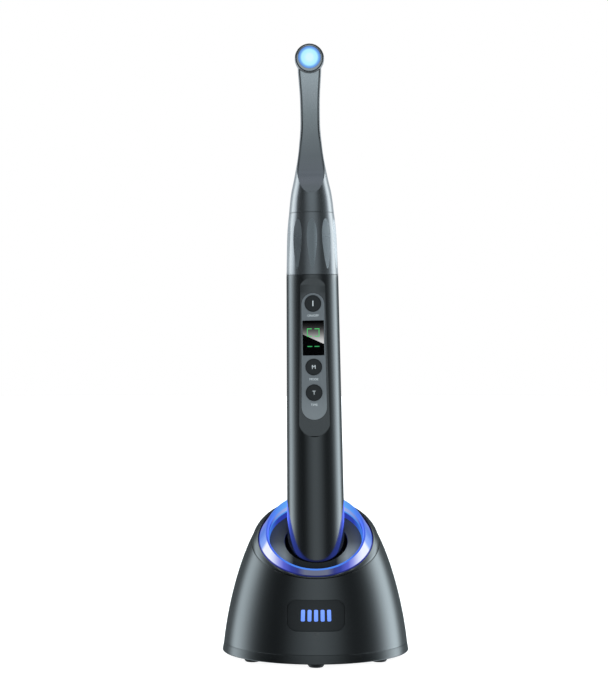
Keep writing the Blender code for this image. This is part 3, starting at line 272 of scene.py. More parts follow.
@dataclass(frozen=True)
class Finish:
    """A solid finish: a toned colour with fine grain, hazy gloss and rubbed edges.

    The grain's and the haze's scales count per metre, and the grain's depth is in millimetres.
    """

    name: str
    slot: str
    colour: Colour
    gloss: tuple[float, float]
    metallic: float = 0.0
    tone: float = 0.06
    grain_scale: float = 4000.0
    grain_depth: float = 0.004
    grain_stretch: float = 1.0
    wear: float = 0.05
    wear_colour: Colour = (0.3, 0.31, 0.32)
    specular: float = 0.5
    haze_scale: float = 60.0
    bump: float = 0.25

    @cache
    def material(self) -> bpy.types.Material:
        """Builds the material at its first use.

        Returns:
            The finish's material.
        """
        made = bpy.data.materials.new(self.name)
        made.use_nodes = True
        made.node_tree.nodes.clear()
        bench = Bench(made.node_tree)
        feeds = {"Scale": self.grain_scale, "Stretch": self.grain_stretch}
        grain = bench.add("ShaderNodeGroup", feeds, node_tree=Effects.grain()).outputs
        feeds = {"Scale": self.haze_scale, "Low": self.gloss[0], "High": self.gloss[1]}
        haze = bench.add("ShaderNodeGroup", feeds, node_tree=Effects.haze()).outputs
        wear = bench.add("ShaderNodeGroup", {"Amount": self.wear}, node_tree=Effects.wear()).outputs
        feeds = {"Height": grain["Height"], "Strength": self.bump, "Distance": self.grain_depth * MM}
        feeds = {
            "Base Color": bench.mix(wear["Mask"], self.tint(bench, grain["Tone"]), self.wear_colour),
            "Metallic": self.metallic,
            "Roughness": haze["Roughness"],
            "Specular IOR Level": self.specular,
            "Normal": bench.add("ShaderNodeBump", feeds).outputs["Normal"],
        }
        shader = bench.add("ShaderNodeBsdfPrincipled", feeds)
        self.light(bench, shader)
        bench.add("ShaderNodeOutputMaterial", {"Surface": shader.outputs["BSDF"]})
        return made

    def tint(self, bench: Bench, tone: Socket) -> Socket:
        """Mixes the colour's lighter and darker tones.

        Args:
            bench: The material's bench.
            tone: The slow change of tone.

        Returns:
            The toned colour.
        """
        dark = tuple(part * (1.0 - self.tone) for part in self.colour)
        pale = tuple(part * (1.0 + self.tone) for part in self.colour)
        return bench.mix(tone, dark, pale)

    def light(self, bench: Bench, shader: Node) -> None:
        """A solid finish gives no light of its own."""


@dataclass(frozen=True)
class Spread:
    """Where a change of colour runs over a piece: its start and end, in millimetres."""

    way: Run
    middle: tuple[float, float, float] = (0.0, 0.0, 0.0)
    start: float = 0.0
    end: float = 1.0

    def factor(self, bench: Bench) -> Socket:
        """The share along the run, from 0 to 1.

        Args:
            bench: The material's bench.

        Returns:
            The socket that holds the share.
        """
        place = bench.add("ShaderNodeTexCoord").outputs["Object"]
        if self.way is Run.ROUND:
            centre = tuple(part * MM for part in self.middle)
            apart = bench.add("ShaderNodeVectorMath", {0: place, 1: centre}, operation="DISTANCE")
            value = apart.outputs["Value"]
        else:
            value = bench.add("ShaderNodeSeparateXYZ", {0: place}).outputs[self.way.value]
        return bench.remap(value, self.start * MM, self.end * MM)


@dataclass(frozen=True)
class LitFinish(Finish):
    """A finish that shines with a colour that changes over the piece."""

    spread: Spread = Spread(Run.ROUND)
    stops: Stops = ()
    strength: float = 1.0

    def light(self, bench: Bench, shader: Node) -> None:
        """Feeds the shader's emission.

        Args:
            bench: The material's bench.
            shader: The Principled shader.
        """
        colour = bench.ramp(self.spread.factor(bench), self.stops)
        bench.tree.links.new(colour, shader.inputs["Emission Color"])
        shader.inputs["Emission Strength"].default_value = self.strength


@dataclass(frozen=True)
class PaintedLightFinish(Finish):
    """A finish with painted light: its colour changes over the piece to stand in for shade, highlights and
    reflections.
    """

    spread: Spread = Spread(Run.HEIGHT)
    stops: Stops = ()
    fade: Spread | None = None
    fade_stops: Stops = ()

    def tint(self, bench: Bench, tone: Socket) -> Socket:
        """Darkens the run of painted light here and there, towards the plain colour.

        Args:
            bench: The material's bench.
            tone: The slow change of tone.

        Returns:
            The toned colour.
        """
        run = bench.ramp(self.spread.factor(bench), self.stops)
        if self.fade:
            faded = bench.ramp(self.fade.factor(bench), self.fade_stops)
            both = {0: run, 1: faded}
            run = bench.add("ShaderNodeVectorMath", both, operation="MULTIPLY").outputs[0]
        dull, bright = 0.3, 0.7
        uneven = bench.remap(tone, dull, bright, (0.0, self.tone))
        return bench.mix(uneven, run, self.colour)


def greys(*steps: tuple[float, float]) -> Stops:
    """Stops of plain grey, each from a place and a brightness."""
    return tuple((place, (level, level, level)) for place, level in steps)


def mirrored(half: Stops) -> Stops:
    """Stops that run to the middle and back again the same way."""
    return half + tuple((1.0 - place, colour) for place, colour in reversed(half))


BLACK_SATIN = Finish("satin_black", "black_plastic", (0.0016, 0.0018, 0.002), (0.15, 0.19), grain_depth=0.003)
TRAY_BLACK = replace(BLACK_SATIN, name="tray_black", gloss=(0.16, 0.2), specular=0.36)
SOCKET_BLACK = Finish("socket_black", "black_plastic", (0.003, 0.0032, 0.0036), (0.2, 0.26))
GUNMETAL = Finish(
    "dark_gunmetal",
    "gunmetal",
    (0.08, 0.082, 0.085),
    (0.15, 0.18),
    metallic=0.8,
    tone=0.04,
    grain_scale=2500.0,
    grain_depth=0.003,
    grain_stretch=0.12,
    wear_colour=(0.32, 0.34, 0.35),
)
# Painted shading on the scooped facet: lighter towards the head and at the lower tip, darker between, as the
# studio light would fall on the curved scoop.
FACET_METAL_PAINTED_SHADE = PaintedLightFinish(
    "facet_metal_painted_shade",
    "gunmetal",
    (0.08, 0.085, 0.09),
    (0.24, 0.3),
    metallic=1.0,
    tone=0.04,
    grain_scale=2500.0,
    grain_stretch=0.12,
    wear_colour=(0.32, 0.34, 0.35),
    spread=Spread(Run.HEIGHT, start=183.0, end=231.0),
    stops=(
        (0.03, (0.152, 0.152, 0.158)),
        (0.07, (0.168, 0.165, 0.175)),
        (0.11, (0.15, 0.146, 0.158)),
        (0.15, (0.112, 0.111, 0.12)),
        (0.19, (0.09, 0.089, 0.095)),
        (0.31, (0.089, 0.09, 0.093)),
        (0.48, (0.109, 0.111, 0.113)),
        (0.65, (0.137, 0.142, 0.143)),
        (0.81, (0.179, 0.182, 0.186)),
        (0.96, (0.22, 0.226, 0.23)),
    ),
)
# Painted light on the grip's finger flats: the flats on the right are painted much lighter than those in
# front and on the left, as the studio light falls.
FLAT_METAL_PAINTED_SIDE_LIGHT = replace(
    FACET_METAL_PAINTED_SHADE,
    name="flat_metal",
    colour=(0.084, 0.088, 0.091),
    spread=Spread(Run.ACROSS, start=-9.0, end=7.0),
    stops=(
        (0.1, (0.1, 0.105, 0.11)),
        (0.5, (0.086, 0.09, 0.093)),
        (0.75, (0.2, 0.21, 0.22)),
        (0.95, (0.3, 0.31, 0.32)),
    ),
)
SATIN_STEEL = Finish(
    "satin_steel",
    "steel",
    (0.34, 0.355, 0.365),
    (0.22, 0.32),
    metallic=1.0,
    grain_scale=6000.0,
    grain_stretch=0.1,
    wear_colour=(0.6, 0.6, 0.6),
)
# Painted reflections on the dished face: pale patches at the left and right where the side light strips would
# mirror, dark in the front middle, and the whole run darker towards the back; its own gloss is kept very low.
DISH_PAINTED_REFLECTION = PaintedLightFinish(
    "dish_painted_reflection",
    "black_plastic",
    (0.03, 0.031, 0.033),
    (0.3, 0.36),
    tone=0.02,
    specular=0.02,
    spread=Spread(Run.ACROSS, start=-18.0, end=18.0),
    stops=(
        (0.1, (0.25, 0.255, 0.255)),
        (0.165, (0.25, 0.255, 0.255)),
        (0.26, (0.016, 0.017, 0.018)),
        (0.72, (0.016, 0.017, 0.018)),
        (0.835, (0.31, 0.315, 0.315)),
        (0.9, (0.31, 0.315, 0.315)),
    ),
    fade=Spread(Run.DEPTH, start=-20.0, end=-4.0),
    fade_stops=(*greys((0.0, 1.0), (0.25, 0.8), (0.5, 0.4)), (1.0, (0.25, 0.25, 0.26))),
)
BEZEL_STEEL = Finish(
    "bezel_steel",
    "steel",
    (0.2, 0.205, 0.21),
    (0.24, 0.3),
    metallic=1.0,
    grain_depth=0.001,
    wear_colour=(0.4, 0.4, 0.4),
)
RIM_BLACK = Finish("rim_black", "black_plastic", (0.022, 0.0225, 0.023), (0.3, 0.36), specular=0.3, wear=0.0)
GOLD_PLATE = Finish(
    "bright_gold",
    "gold_plate",
    (0.72, 0.5, 0.2),
    (0.18, 0.3),
    metallic=1.0,
    wear_colour=(0.85, 0.68, 0.36),
)
# Painted highlight: the control panel is painted lighter towards its lower end, where the light would catch
# it.
GREY_PANEL_PAINTED_HIGHLIGHT = PaintedLightFinish(
    "panel_grey_painted_highlight",
    "grey_panel",
    (0.086, 0.094, 0.101),
    (0.3, 0.36),
    grain_depth=0.003,
    spread=Spread(Run.HEIGHT, start=94.0, end=144.0),
    stops=((0.02, (0.13, 0.14, 0.147)), (0.12, (0.116, 0.126, 0.133)), (0.24, (0.086, 0.094, 0.101))),
)
BUTTON_BLACK = Finish(
    "button_black", "grey_panel", (0.005, 0.0055, 0.006), (0.34, 0.42), grain_depth=0.002, specular=0.2
)
DISPLAY_GLASS = Finish(
    "display_glass", "dark_glass", (0.0012, 0.0012, 0.0014), (0.004, 0.008), grain_depth=0.0, wear=0.0
)
PANEL_GLASS = replace(
    DISPLAY_GLASS,
    name="panel_glass",
    colour=(0.008, 0.0085, 0.009),
    gloss=(0.3, 0.36),
    grain_depth=0.001,
    specular=0.2,
)
PRINT_WHITE = Finish("print_white", "white_plastic", (0.54, 0.56, 0.57), (0.4, 0.5), wear=0.0)
RUBBER = Finish(
    "black_rubber", "rubber", (0.006, 0.0063, 0.0066), (0.5, 0.62), grain_depth=0.01, specular=0.12
)
BOARD_GREEN = Finish("board_green", "circuit_board", (0.02, 0.12, 0.05), (0.35, 0.5), tone=0.15)
CELL_WRAP = Finish("blue_cell_wrap", "cell_wrap", (0.05, 0.12, 0.3), (0.25, 0.4), tone=0.1)
WHITE_PLASTIC = Finish("white_moulding", "white_plastic", (0.7, 0.7, 0.68), (0.35, 0.45))
CABLE_JACKET = Finish("cable_jacket", "cable", (0.04, 0.04, 0.042), (0.4, 0.5), grain_depth=0.006)
LENS_LIT = LitFinish(
    "lens_lit",
    "lens_glass",
    (0.02, 0.04, 0.1),
    (0.04, 0.07),
    grain_depth=0.0,
    wear=0.0,
    specular=0.25,
    spread=Spread(Run.ROUND, (-2.49, -17.0, 235.92), 0.0, 4.6),
    stops=(
        (0.25, (0.62, 0.86, 0.9)),
        (0.48, (0.46, 0.84, 0.93)),
        (0.66, (0.42, 0.82, 0.94)),
        (0.73, (0.26, 0.62, 0.87)),
        (0.81, (0.13, 0.34, 0.75)),
        (0.93, (0.1, 0.24, 0.6)),
    ),
)
RING_DEPTH = Spread(Run.DEPTH, start=-30.0, end=8.0)
# The ring's outer wall glows blue, with painted reflections: the near-white bands towards the sides and the
# grey-lavender tint at the very front stand in for the studio light mirrored in the wall.
RING_OUTER_PAINTED_REFLECTION = LitFinish(
    "ring_outer",
    "blue_acrylic",
    (0.004, 0.006, 0.03),
    (0.08, 0.12),
    grain_depth=0.0,
    wear=0.0,
    specular=0.1,
    spread=RING_DEPTH,
    stops=(
        (0.04, (0.17, 0.17, 0.27)),
        (0.058, (0.07, 0.07, 0.23)),
        (0.095, (0.026, 0.036, 0.36)),
        (0.13, (0.07, 0.09, 0.58)),
        (0.17, (0.2, 0.23, 0.75)),
        (0.21, (0.54, 0.58, 0.9)),
        (0.26, (0.84, 0.87, 0.98)),
        (0.345, (0.8, 0.84, 0.98)),
        (0.375, (0.2, 0.33, 0.82)),
        (0.43, (0.1, 0.22, 0.72)),
        (0.5, (0.09, 0.2, 0.68)),
        (0.61, (0.17, 0.22, 0.7)),
        (0.7, (0.36, 0.36, 0.76)),
        (0.78, (0.16, 0.2, 0.7)),
        (0.85, (0.08, 0.13, 0.66)),
    ),
)
# The front of the outer wall: deep blue glow with near-white painted reflections at both sides and a grey
# painted reflection in the middle.
RING_FRONT_PAINTED_REFLECTION = replace(
    RING_OUTER_PAINTED_REFLECTION,
    name="ring_front",
    spread=Spread(Run.ACROSS, start=-20.0, end=20.0),
    stops=mirrored(
        (
            (0.045, (0.84, 0.87, 0.98)),
            (0.0875, (0.65, 0.7, 0.93)),
            (0.1375, (0.3, 0.33, 0.78)),
            (0.1875, (0.1, 0.12, 0.6)),
            (0.2625, (0.028, 0.044, 0.32)),
            (0.325, (0.034, 0.04, 0.19)),
            (0.395, (0.135, 0.15, 0.21)),
        )
    ),
)
RING_EDGE = replace(
    RING_OUTER_PAINTED_REFLECTION,
    name="ring_edge",
    stops=((0.03, (0.01, 0.012, 0.08)), (0.2, (0.02, 0.026, 0.28)), (0.6, (0.022, 0.036, 0.34))),
)
RING_CREST = replace(
    RING_OUTER_PAINTED_REFLECTION,
    name="ring_crest",
    colour=(0.004, 0.01, 0.04),
    stops=(
        (0.1, (0.07, 0.24, 0.84)),
        (0.3, (0.055, 0.12, 0.68)),
        (0.55, (0.06, 0.13, 0.68)),
        (0.66, (0.08, 0.22, 0.76)),
        (0.76, (0.12, 0.38, 0.86)),
        (0.88, (0.18, 0.54, 0.93)),
    ),
)
RING_INNER = replace(
    RING_OUTER_PAINTED_REFLECTION,
    name="ring_inner",
    colour=(0.004, 0.008, 0.04),
    specular=0.0,
    stops=(
        (0.3, (0.04, 0.09, 0.56)),
        (0.6, (0.05, 0.1, 0.6)),
        (0.7, (0.2, 0.29, 0.7)),
        (0.82, (0.38, 0.48, 0.82)),
    ),
)
RING_LINE = replace(
    RING_CREST,
    name="ring_line",
    specular=0.0,
    stops=((0.4, (0.05, 0.2, 0.74)), (0.7, (0.07, 0.29, 0.82)), (0.92, (0.1, 0.36, 0.88))),
)
RING_SHADE = replace(
    RING_OUTER_PAINTED_REFLECTION,
    name="ring_shade",
    specular=0.0,
    stops=(
        (0.45, (0.06, 0.24, 0.78)),
        (0.62, (0.05, 0.17, 0.7)),
        (0.74, (0.026, 0.05, 0.4)),
        (0.95, (0.022, 0.036, 0.34)),
    ),
)
GLARE = LitFinish(
    "glare",
    "white_plastic",
    (0.0, 0.0, 0.0),
    (0.5, 0.5),
    wear=0.0,
    specular=0.0,
    spread=Spread(Run.HEIGHT, start=125.0, end=145.0),
    stops=greys(
        (0.14, 1.0),
        (0.215, 0.86),
        (0.294, 0.664),
        (0.373, 0.475),
        (0.45, 0.31),
        (0.53, 0.193),
        (0.61, 0.107),
        (0.69, 0.049),
        (0.77, 0.021),
        (0.9, 0.0),
    ),
    strength=16.0,
)
RING_GLOW = replace(
    GLARE,
    name="ring_glow",
    slot="blue_acrylic",
    spread=RING_DEPTH,
    stops=((0.07, (0.0, 0.0, 0.0)), (0.12, (0.05, 0.07, 0.42)), (0.19, (0.1, 0.17, 1.0))),
    strength=4.2,
)
LEFT_WING = replace(
    GLARE,
    name="left_wing_light",
    spread=Spread(Run.DEPTH, start=-26.0, end=58.0),
    stops=(
        (0.0, (0.2, 0.23, 0.25)),
        (0.07, (0.38, 0.43, 0.46)),
        (0.2, (0.73, 0.82, 0.87)),
        (0.34, (0.89, 0.97, 1.0)),
        (0.47, (0.84, 0.92, 0.95)),
        (0.57, (0.5, 0.56, 0.59)),
        (0.68, (0.22, 0.25, 0.27)),
        (0.81, (0.14, 0.155, 0.165)),
        (1.0, (0.09, 0.1, 0.11)),
    ),
    strength=8.0,
)
RIGHT_WING = replace(
    LEFT_WING, name="right_wing_light", spread=Spread(Run.DEPTH, start=-18.0, end=58.0), strength=8.3
)
FLAG_BLACK = Finish("flag_black", "rubber", (0.0, 0.0, 0.0), (0.9, 0.9), wear=0.0, specular=0.0)
SEGMENT_GREEN = LitFinish(
    "segment_green",
    "white_plastic",
    (0.02, 0.1, 0.04),
    (0.3, 0.4),
    wear=0.0,
    specular=0.0,
    spread=Spread(Run.HEIGHT, start=120.0, end=130.0),
    stops=((0.0, (0.008, 0.2, 0.06)), (1.0, (0.07, 0.5, 0.12))),
)
CHARGE_BLUE = LitFinish(
    "charge_blue",
    "blue_acrylic",
    (0.05, 0.12, 0.5),
    (0.3, 0.4),
    wear=0.0,
    spread=Spread(Run.HEIGHT, start=17.0, end=23.0),
    stops=((0.0, (0.1, 0.2, 0.66)), (1.0, (0.15, 0.27, 0.8))),
    strength=0.9,
)
CARRIED_FINISHES = {
    "black_plastic": BLACK_SATIN,
    "gunmetal": GUNMETAL,
    "steel": SATIN_STEEL,
    "gold_plate": GOLD_PLATE,
    "blue_acrylic": RING_INNER,
    "grey_panel": GREY_PANEL_PAINTED_HIGHLIGHT,
    "dark_glass": DISPLAY_GLASS,
    "lens_glass": LENS_LIT,
    "rubber": RUBBER,
    "circuit_board": BOARD_GREEN,
    "cell_wrap": CELL_WRAP,
    "white_plastic": WHITE_PLASTIC,
    "cable": CABLE_JACKET,
}


@dataclass(frozen=True)
class Track:
    """A smooth run of values through stations: each a place, then the values there."""

    stations: tuple[tuple[float, ...], ...]

    def at(self, place: float) -> list[float]:
        """The values at a place, held level past both ends.

        Args:
            place: Where along the track.

        Returns:
            The values, in the stations' order.
        """
        rows = self.stations
        place = min(max(place, rows[0][0]), rows[-1][0])
        i = 0
        while i < len(rows) - 2 and place > rows[i + 1][0]:
            i += 1
        near, far = rows[i], rows[i + 1]
        span = far[0] - near[0]
        t = (place - near[0]) / span
        values = []
        for k in range(1, len(near)):
            start = self.slope(i, k) * span
            end = self.slope(i + 1, k) * span
            rise = far[k] - near[k]
            bend = (3.0 * rise - 2.0 * start - end) * t**2 + (start + end - 2.0 * rise) * t**3
            values.append(near[k] + start * t + bend)
        return values

    def slope(self, i: int, k: int) -> float:
        """Slope of value k at station i.

        Args:
            i: Number of the station.
            k: Number of the value in its row.

        Returns:
            The slope from the station before to the one after.
        """
        before = self.stations[max(i - 1, 0)]
        after = self.stations[min(i + 1, len(self.stations) - 1)]
        return (after[k] - before[k]) / (after[0] - before[0])


def turn(count: int) -> list[float]:
    """Angles of a full turn, in radians."""
    return [2.0 * math.pi * step / count for step in range(count)]


def spaced(start: float, end: float, count: int) -> list[float]:
    """Evenly spaced values from start to end, both included."""
    return [start + (end - start) * step / (count - 1) for step in range(count)]


def rounded(
    points: Sequence[tuple[float, float]], radius: float, steps: int = 5, closed: bool = False
) -> Outline:
    """Softens the corners of an outline.

    Args:
        points: The outline's corners.
        radius: How far each round reaches along its sides.
        steps: Points on each round.
        closed: Whether the outline runs back to its start.

    Returns:
        The softened outline.
    """
    made: Outline = []
    count = len(points)
    for i, corner in enumerate(points):
        if not closed and i in (0, count - 1):
            made.append(corner)
            continue
        spot = Vector(corner)
        ends = []
        for other in (points[i - 1], points[(i + 1) % count]):
            side = Vector(other) - spot
            ends.append(spot + side * min(radius / side.length, ROUND_LIMIT))
        for step in range(steps + 1):
            t = step / steps
            curve = ends[0] * (1.0 - t) ** 2 + spot * 2.0 * t * (1.0 - t) + ends[1] * t**2
            made.append((curve.x, curve.y))
    return made


def round_rectangle(width: float, height: float, corner: float, steps: int = 10) -> Outline:
    """Points of a rectangle with round corners, about the origin.

    Args:
        width: Its whole width.
        height: Its whole height.
        corner: Radius of its corners.
        steps: Steps in each corner.

    Returns:
        The rectangle's outline.
    """
    points = []
    for quarter, (side_x, side_y) in enumerate(((1, 1), (-1, 1), (-1, -1), (1, -1))):
        for angle in spaced(quarter * math.pi / 2.0, (quarter + 1) * math.pi / 2.0, steps + 1):
            x = side_x * (width / 2.0 - corner) + corner * math.cos(angle)
            y = side_y * (height / 2.0 - corner) + corner * math.sin(angle)
            points.append((x, y))
    return points


def circle(radius: float, count: int, middle: tuple[float, float] = (0.0, 0.0)) -> Outline:
    """Points of a circle in a plane."""
    return [(middle[0] + radius * math.cos(a), middle[1] + radius * math.sin(a)) for a in turn(count)]


def level_loop(radius: float, height: float, count: int = FINE) -> list[Vector]:
    """A level circle of points about the axis."""
    return [Vector((x, y, height)) for x, y in circle(radius, count)]


def thing_from(name: str, build: Callable[[bmesh.types.BMesh], None]) -> Thing:
    """Makes an object from a function that fills its mesh.

    Args:
        name: The object's name.
        build: Fills the given bmesh, in millimetres.

    Returns:
        The new object.
    """
    work = bmesh.new()
    build(work)
    bmesh.ops.recalc_face_normals(work, faces=work.faces)
    mesh = bpy.data.meshes.new(name)
    work.to_mesh(mesh)
    work.free()
    made = bpy.data.objects.new(name, mesh)
    bpy.context.scene.collection.objects.link(made)
    return made


def skin(
    name: str,
    loops: Sequence[Sequence[Vector]],
    ring: bool = False,
    finish_of: Callable[[int, int], int] | None = None,
) -> Thing:
    """Skins loops of points, where a loop of one point is a pole.

    Args:
        name: The object's name.
        loops: The loops, in order.
        ring: Whether the last loop joins the first; the skin is capped otherwise.
        finish_of: Picks a face's finish by its loop and its place on the loop.

    Returns:
        The new object.
    """

    def build(work: bmesh.types.BMesh) -> None:
        """Fills the mesh with the loops and the faces between them.

        Args:
            work: The empty mesh.
        """
        rows = [[work.verts.new(point) for point in loop] for loop in loops]
        pairs = list(zip(rows, rows[1:]))
        if ring:
            pairs.append((rows[-1], rows[0]))
        else:
            for end in (rows[0], rows[-1]):
                if len(end) > 2:
                    work.faces.new(end)
        for number, (near, far) in enumerate(pairs):
            count = max(len(near), len(far))
            for i in range(count):
                j = (i + 1) % count
                corners = [near[i % len(near)], near[j % len(near)], far[j % len(far)], far[i % len(far)]]
                face = work.faces.new(list(dict.fromkeys(corners)))
                if finish_of:
                    face.material_index = finish_of(number, i)

    return thing_from(name, build)


def turned(
    name: str, profile: Sequence[tuple[float, float]], segments: int = ROUND, ring: bool = False
) -> Thing:
    """Turns a profile of (radius, height) about Z.

    Args:
        name: The object's name.
        profile: The profile's points; a radius of zero is a pole.
        segments: Sides of the turned piece.
        ring: Whether the profile is closed on itself.

    Returns:
        The new object.
    """
    loops = []
    for radius, height in profile:
        if radius < POLE:
            loops.append([Vector((0.0, 0.0, height))])
        else:
            loops.append(level_loop(radius, height, segments))
    return skin(name, loops, ring)


def rod(name: str, radius: float, low: float, high: float, soft: float = 0.0, steps: int = 4) -> Thing:
    """Makes an upright rod with soft edges.

    Args:
        name: The object's name.
        radius: The rod's radius.
        low: Height of its foot.
        high: Height of its top.
        soft: How far its edge rounds reach.
        steps: Points on each round.

    Returns:
        The new object.
    """
    profile = [(0.0, low), (radius, low), (radius, high), (0.0, high)]
    return turned(name, rounded(profile, soft, steps) if soft else profile, SMALL)


def sleeve(
    name: str,
    radii: tuple[float, float],
    low: float,
    high: float,
    soft: float,
    steps: int = 4,
    segments: int = ROUND,
) -> Thing:
    """Makes an upright tube with soft edges.

    Args:
        name: The object's name.
        radii: Its outer radius and its bore's radius.
        low: Height of its foot.
        high: Height of its top.
        soft: How far its edge rounds reach.
        steps: Points on each round.
        segments: Sides of the tube.

    Returns:
        The new object.
    """
    outer, inner = radii
    wall = [(outer, low), (outer, high), (inner, high), (inner, low)]
    return turned(name, rounded(wall, soft, steps, closed=True), segments, ring=True)


def plate(name: str, outlines: Sequence[Outline], low: float, high: float, soft: float = 0.0) -> Thing:
    """Makes a flat plate in X and Y, with holes and soft edges.

    Args:
        name: The object's name.
        outlines: The outer outline, then any holes.
        low: Height of its underside.
        high: Height of its face.
        soft: Width of its edge rounds.

    Returns:
        The new object.
    """
    curve = bpy.data.curves.new(name, "CURVE")
    curve.dimensions = "2D"
    curve.fill_mode = "BOTH"
    curve.extrude = (high - low) / 2.0 - soft
    curve.bevel_depth = soft
    curve.bevel_resolution = 3
    curve.offset = -soft
    for points in outlines:
        spline = curve.splines.new("POLY")
        spline.points.add(len(points) - 1)
        for knot, (x, y) in zip(spline.points, points):
            knot.co = (x, y, 0.0, 1.0)
        spline.use_cyclic_u = True
    made = mesh_of_curve(name, curve)
    made.data.transform(Matrix.Translation((0.0, 0.0, (low + high) / 2.0)))
    return made


def words(name: str, text: str, height: float, low: float, high: float) -> Thing:
    """Makes a word of plain capitals as a thin print.

    Args:
        name: The object's name.
        text: The word.
        height: Height of its letters.
        low: Height of the surface that it is printed on.
        high: Height of the print's face.

    Returns:
        The new object, centred on the origin.
    """
    curve = bpy.data.curves.new(name, "FONT")
    curve.body = text
    curve.extrude = (high - low) / 2.0
    curve.resolution_u = 6
    made = mesh_of_curve(name, curve)
    corners = [Vector(corner) for corner in made.bound_box]
    lowest = Vector(map(min, *corners))
    highest = Vector(map(max, *corners))
    share = height / (highest.y - lowest.y)
    middle = (lowest + highest) / 2.0
    made.data.transform(Matrix.Translation((-middle.x, -middle.y, 0.0)))
    made.data.transform(Matrix.Diagonal((share, share, 1.0, 1.0)))
    made.data.transform(Matrix.Translation((0.0, 0.0, (low + high) / 2.0)))
    return made


def mesh_of_curve(name: str, curve: bpy.types.Curve) -> Thing:
    """Turns a curve or a text into a welded mesh object.

    Args:
        name: The object's name.
        curve: The curve or text, which is used up.

    Returns:
        The new object.
    """
    holder = bpy.data.objects.new(name + "_curve", curve)
    bpy.context.scene.collection.objects.link(holder)
    graph = bpy.context.evaluated_depsgraph_get()
    mesh = bpy.data.meshes.new_from_object(holder.evaluated_get(graph))
    bpy.data.objects.remove(holder, do_unlink=True)

    def build(work: bmesh.types.BMesh) -> None:
        """Fills the mesh with the curve's faces, welded."""
        work.from_mesh(mesh)
        bmesh.ops.remove_doubles(work, verts=work.verts, dist=WELD)

    made = thing_from(name, build)
    bpy.data.meshes.remove(mesh)
    return made


def carve(target: Thing, *tools: Thing, way: str = "DIFFERENCE") -> None:
    """Cuts tools out of a piece, or joins them to it, and removes them.

    Args:
        target: The piece that stays.
        tools: The pieces that are used up.
        way: The boolean operation.
    """
    for tool in tools:
        change = target.modifiers.new("carve", "BOOLEAN")
        change.operation = way
        change.object = tool
        change.solver = "EXACT"
        change.material_mode = "TRANSFER"
    graph = bpy.context.evaluated_depsgraph_get()
    mesh = bpy.data.meshes.new_from_object(target.evaluated_get(graph))
    target.modifiers.clear()
    target.data = mesh
    for tool in tools:
        bpy.data.objects.remove(tool, do_unlink=True)


def paint(piece: Thing, *finishes: Finish) -> Thing:
    """Fills a piece's material slots in order and keeps its faces' numbers.

    Args:
        piece: The piece to paint.
        finishes: Its finishes, by the numbers that its faces carry.

    Returns:
        The piece.
    """
    slots = piece.data.materials
    for number, finish in enumerate(finishes):
        if number < len(slots):
            slots[number] = finish.material()
        else:
            slots.append(finish.material())
    return piece


def move(piece: Thing, place: Matrix) -> Thing:
    """Moves a piece's mesh and gives the piece back."""
    piece.data.transform(place)
    return piece


def up(height: float) -> Matrix:
    """A move along the axis of the handpiece."""
    return Matrix.Translation((0.0, 0.0, height))


def stage_light(card: Thing, finish: Finish) -> None:
    """Paints a lit or black card and hides it from the camera, so that only mirrors show it.

    Args:
        card: The card, in millimetres.
        finish: Its light, or black.
    """
    paint(move(card, TO_METRES), finish)
    card.visible_camera = card.visible_diffuse = card.visible_shadow = False


def deliver(
    piece: Thing,
    finishes: Finish | Sequence[Finish],
    body: Body,
    *nodes: str,
    place: Matrix = Matrix.Identity(4),
    sharp: float = 32.0,
) -> Thing:
    """Dresses a finished piece and lets it ride on its body.

    Args:
        piece: The piece, in millimetres.
        finishes: Its finish, or several by the number that its faces carry.
        body: The body that it moves with.
        nodes: The CAD nodes that it stands for.
        place: Where the piece's own frame lies.
        sharp: Edges bent more than this many degrees stay crisp.

    Returns:
        The piece.
    """
    several = [finishes] if isinstance(finishes, Finish) else list(finishes)
    mesh = piece.data
    mesh.transform(TO_METRES @ place)
    paint(piece, *several)
    mesh.shade_smooth()
    mesh.set_sharp_from_angle(angle=math.radians(sharp))
    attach(piece, body.value)
    if nodes:
        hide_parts(*nodes)
    LOG.info("%s: %d faces on %s", piece.name, len(mesh.polygons), body.value)
    return piece


def node_axis(node: str) -> Matrix:
    """The upright axis through the middle of a CAD node, at its lowest point, in millimetres."""
    low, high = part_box(node)
    return Matrix.Translation(Vector(((low.x + high.x) / 2.0, (low.y + high.y) / 2.0, low.z)) / MM)


def node_size(node: str) -> Vector:
    """Width, depth and height of a CAD node, in millimetres."""
    low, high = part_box(node)
    return (high - low) / MM


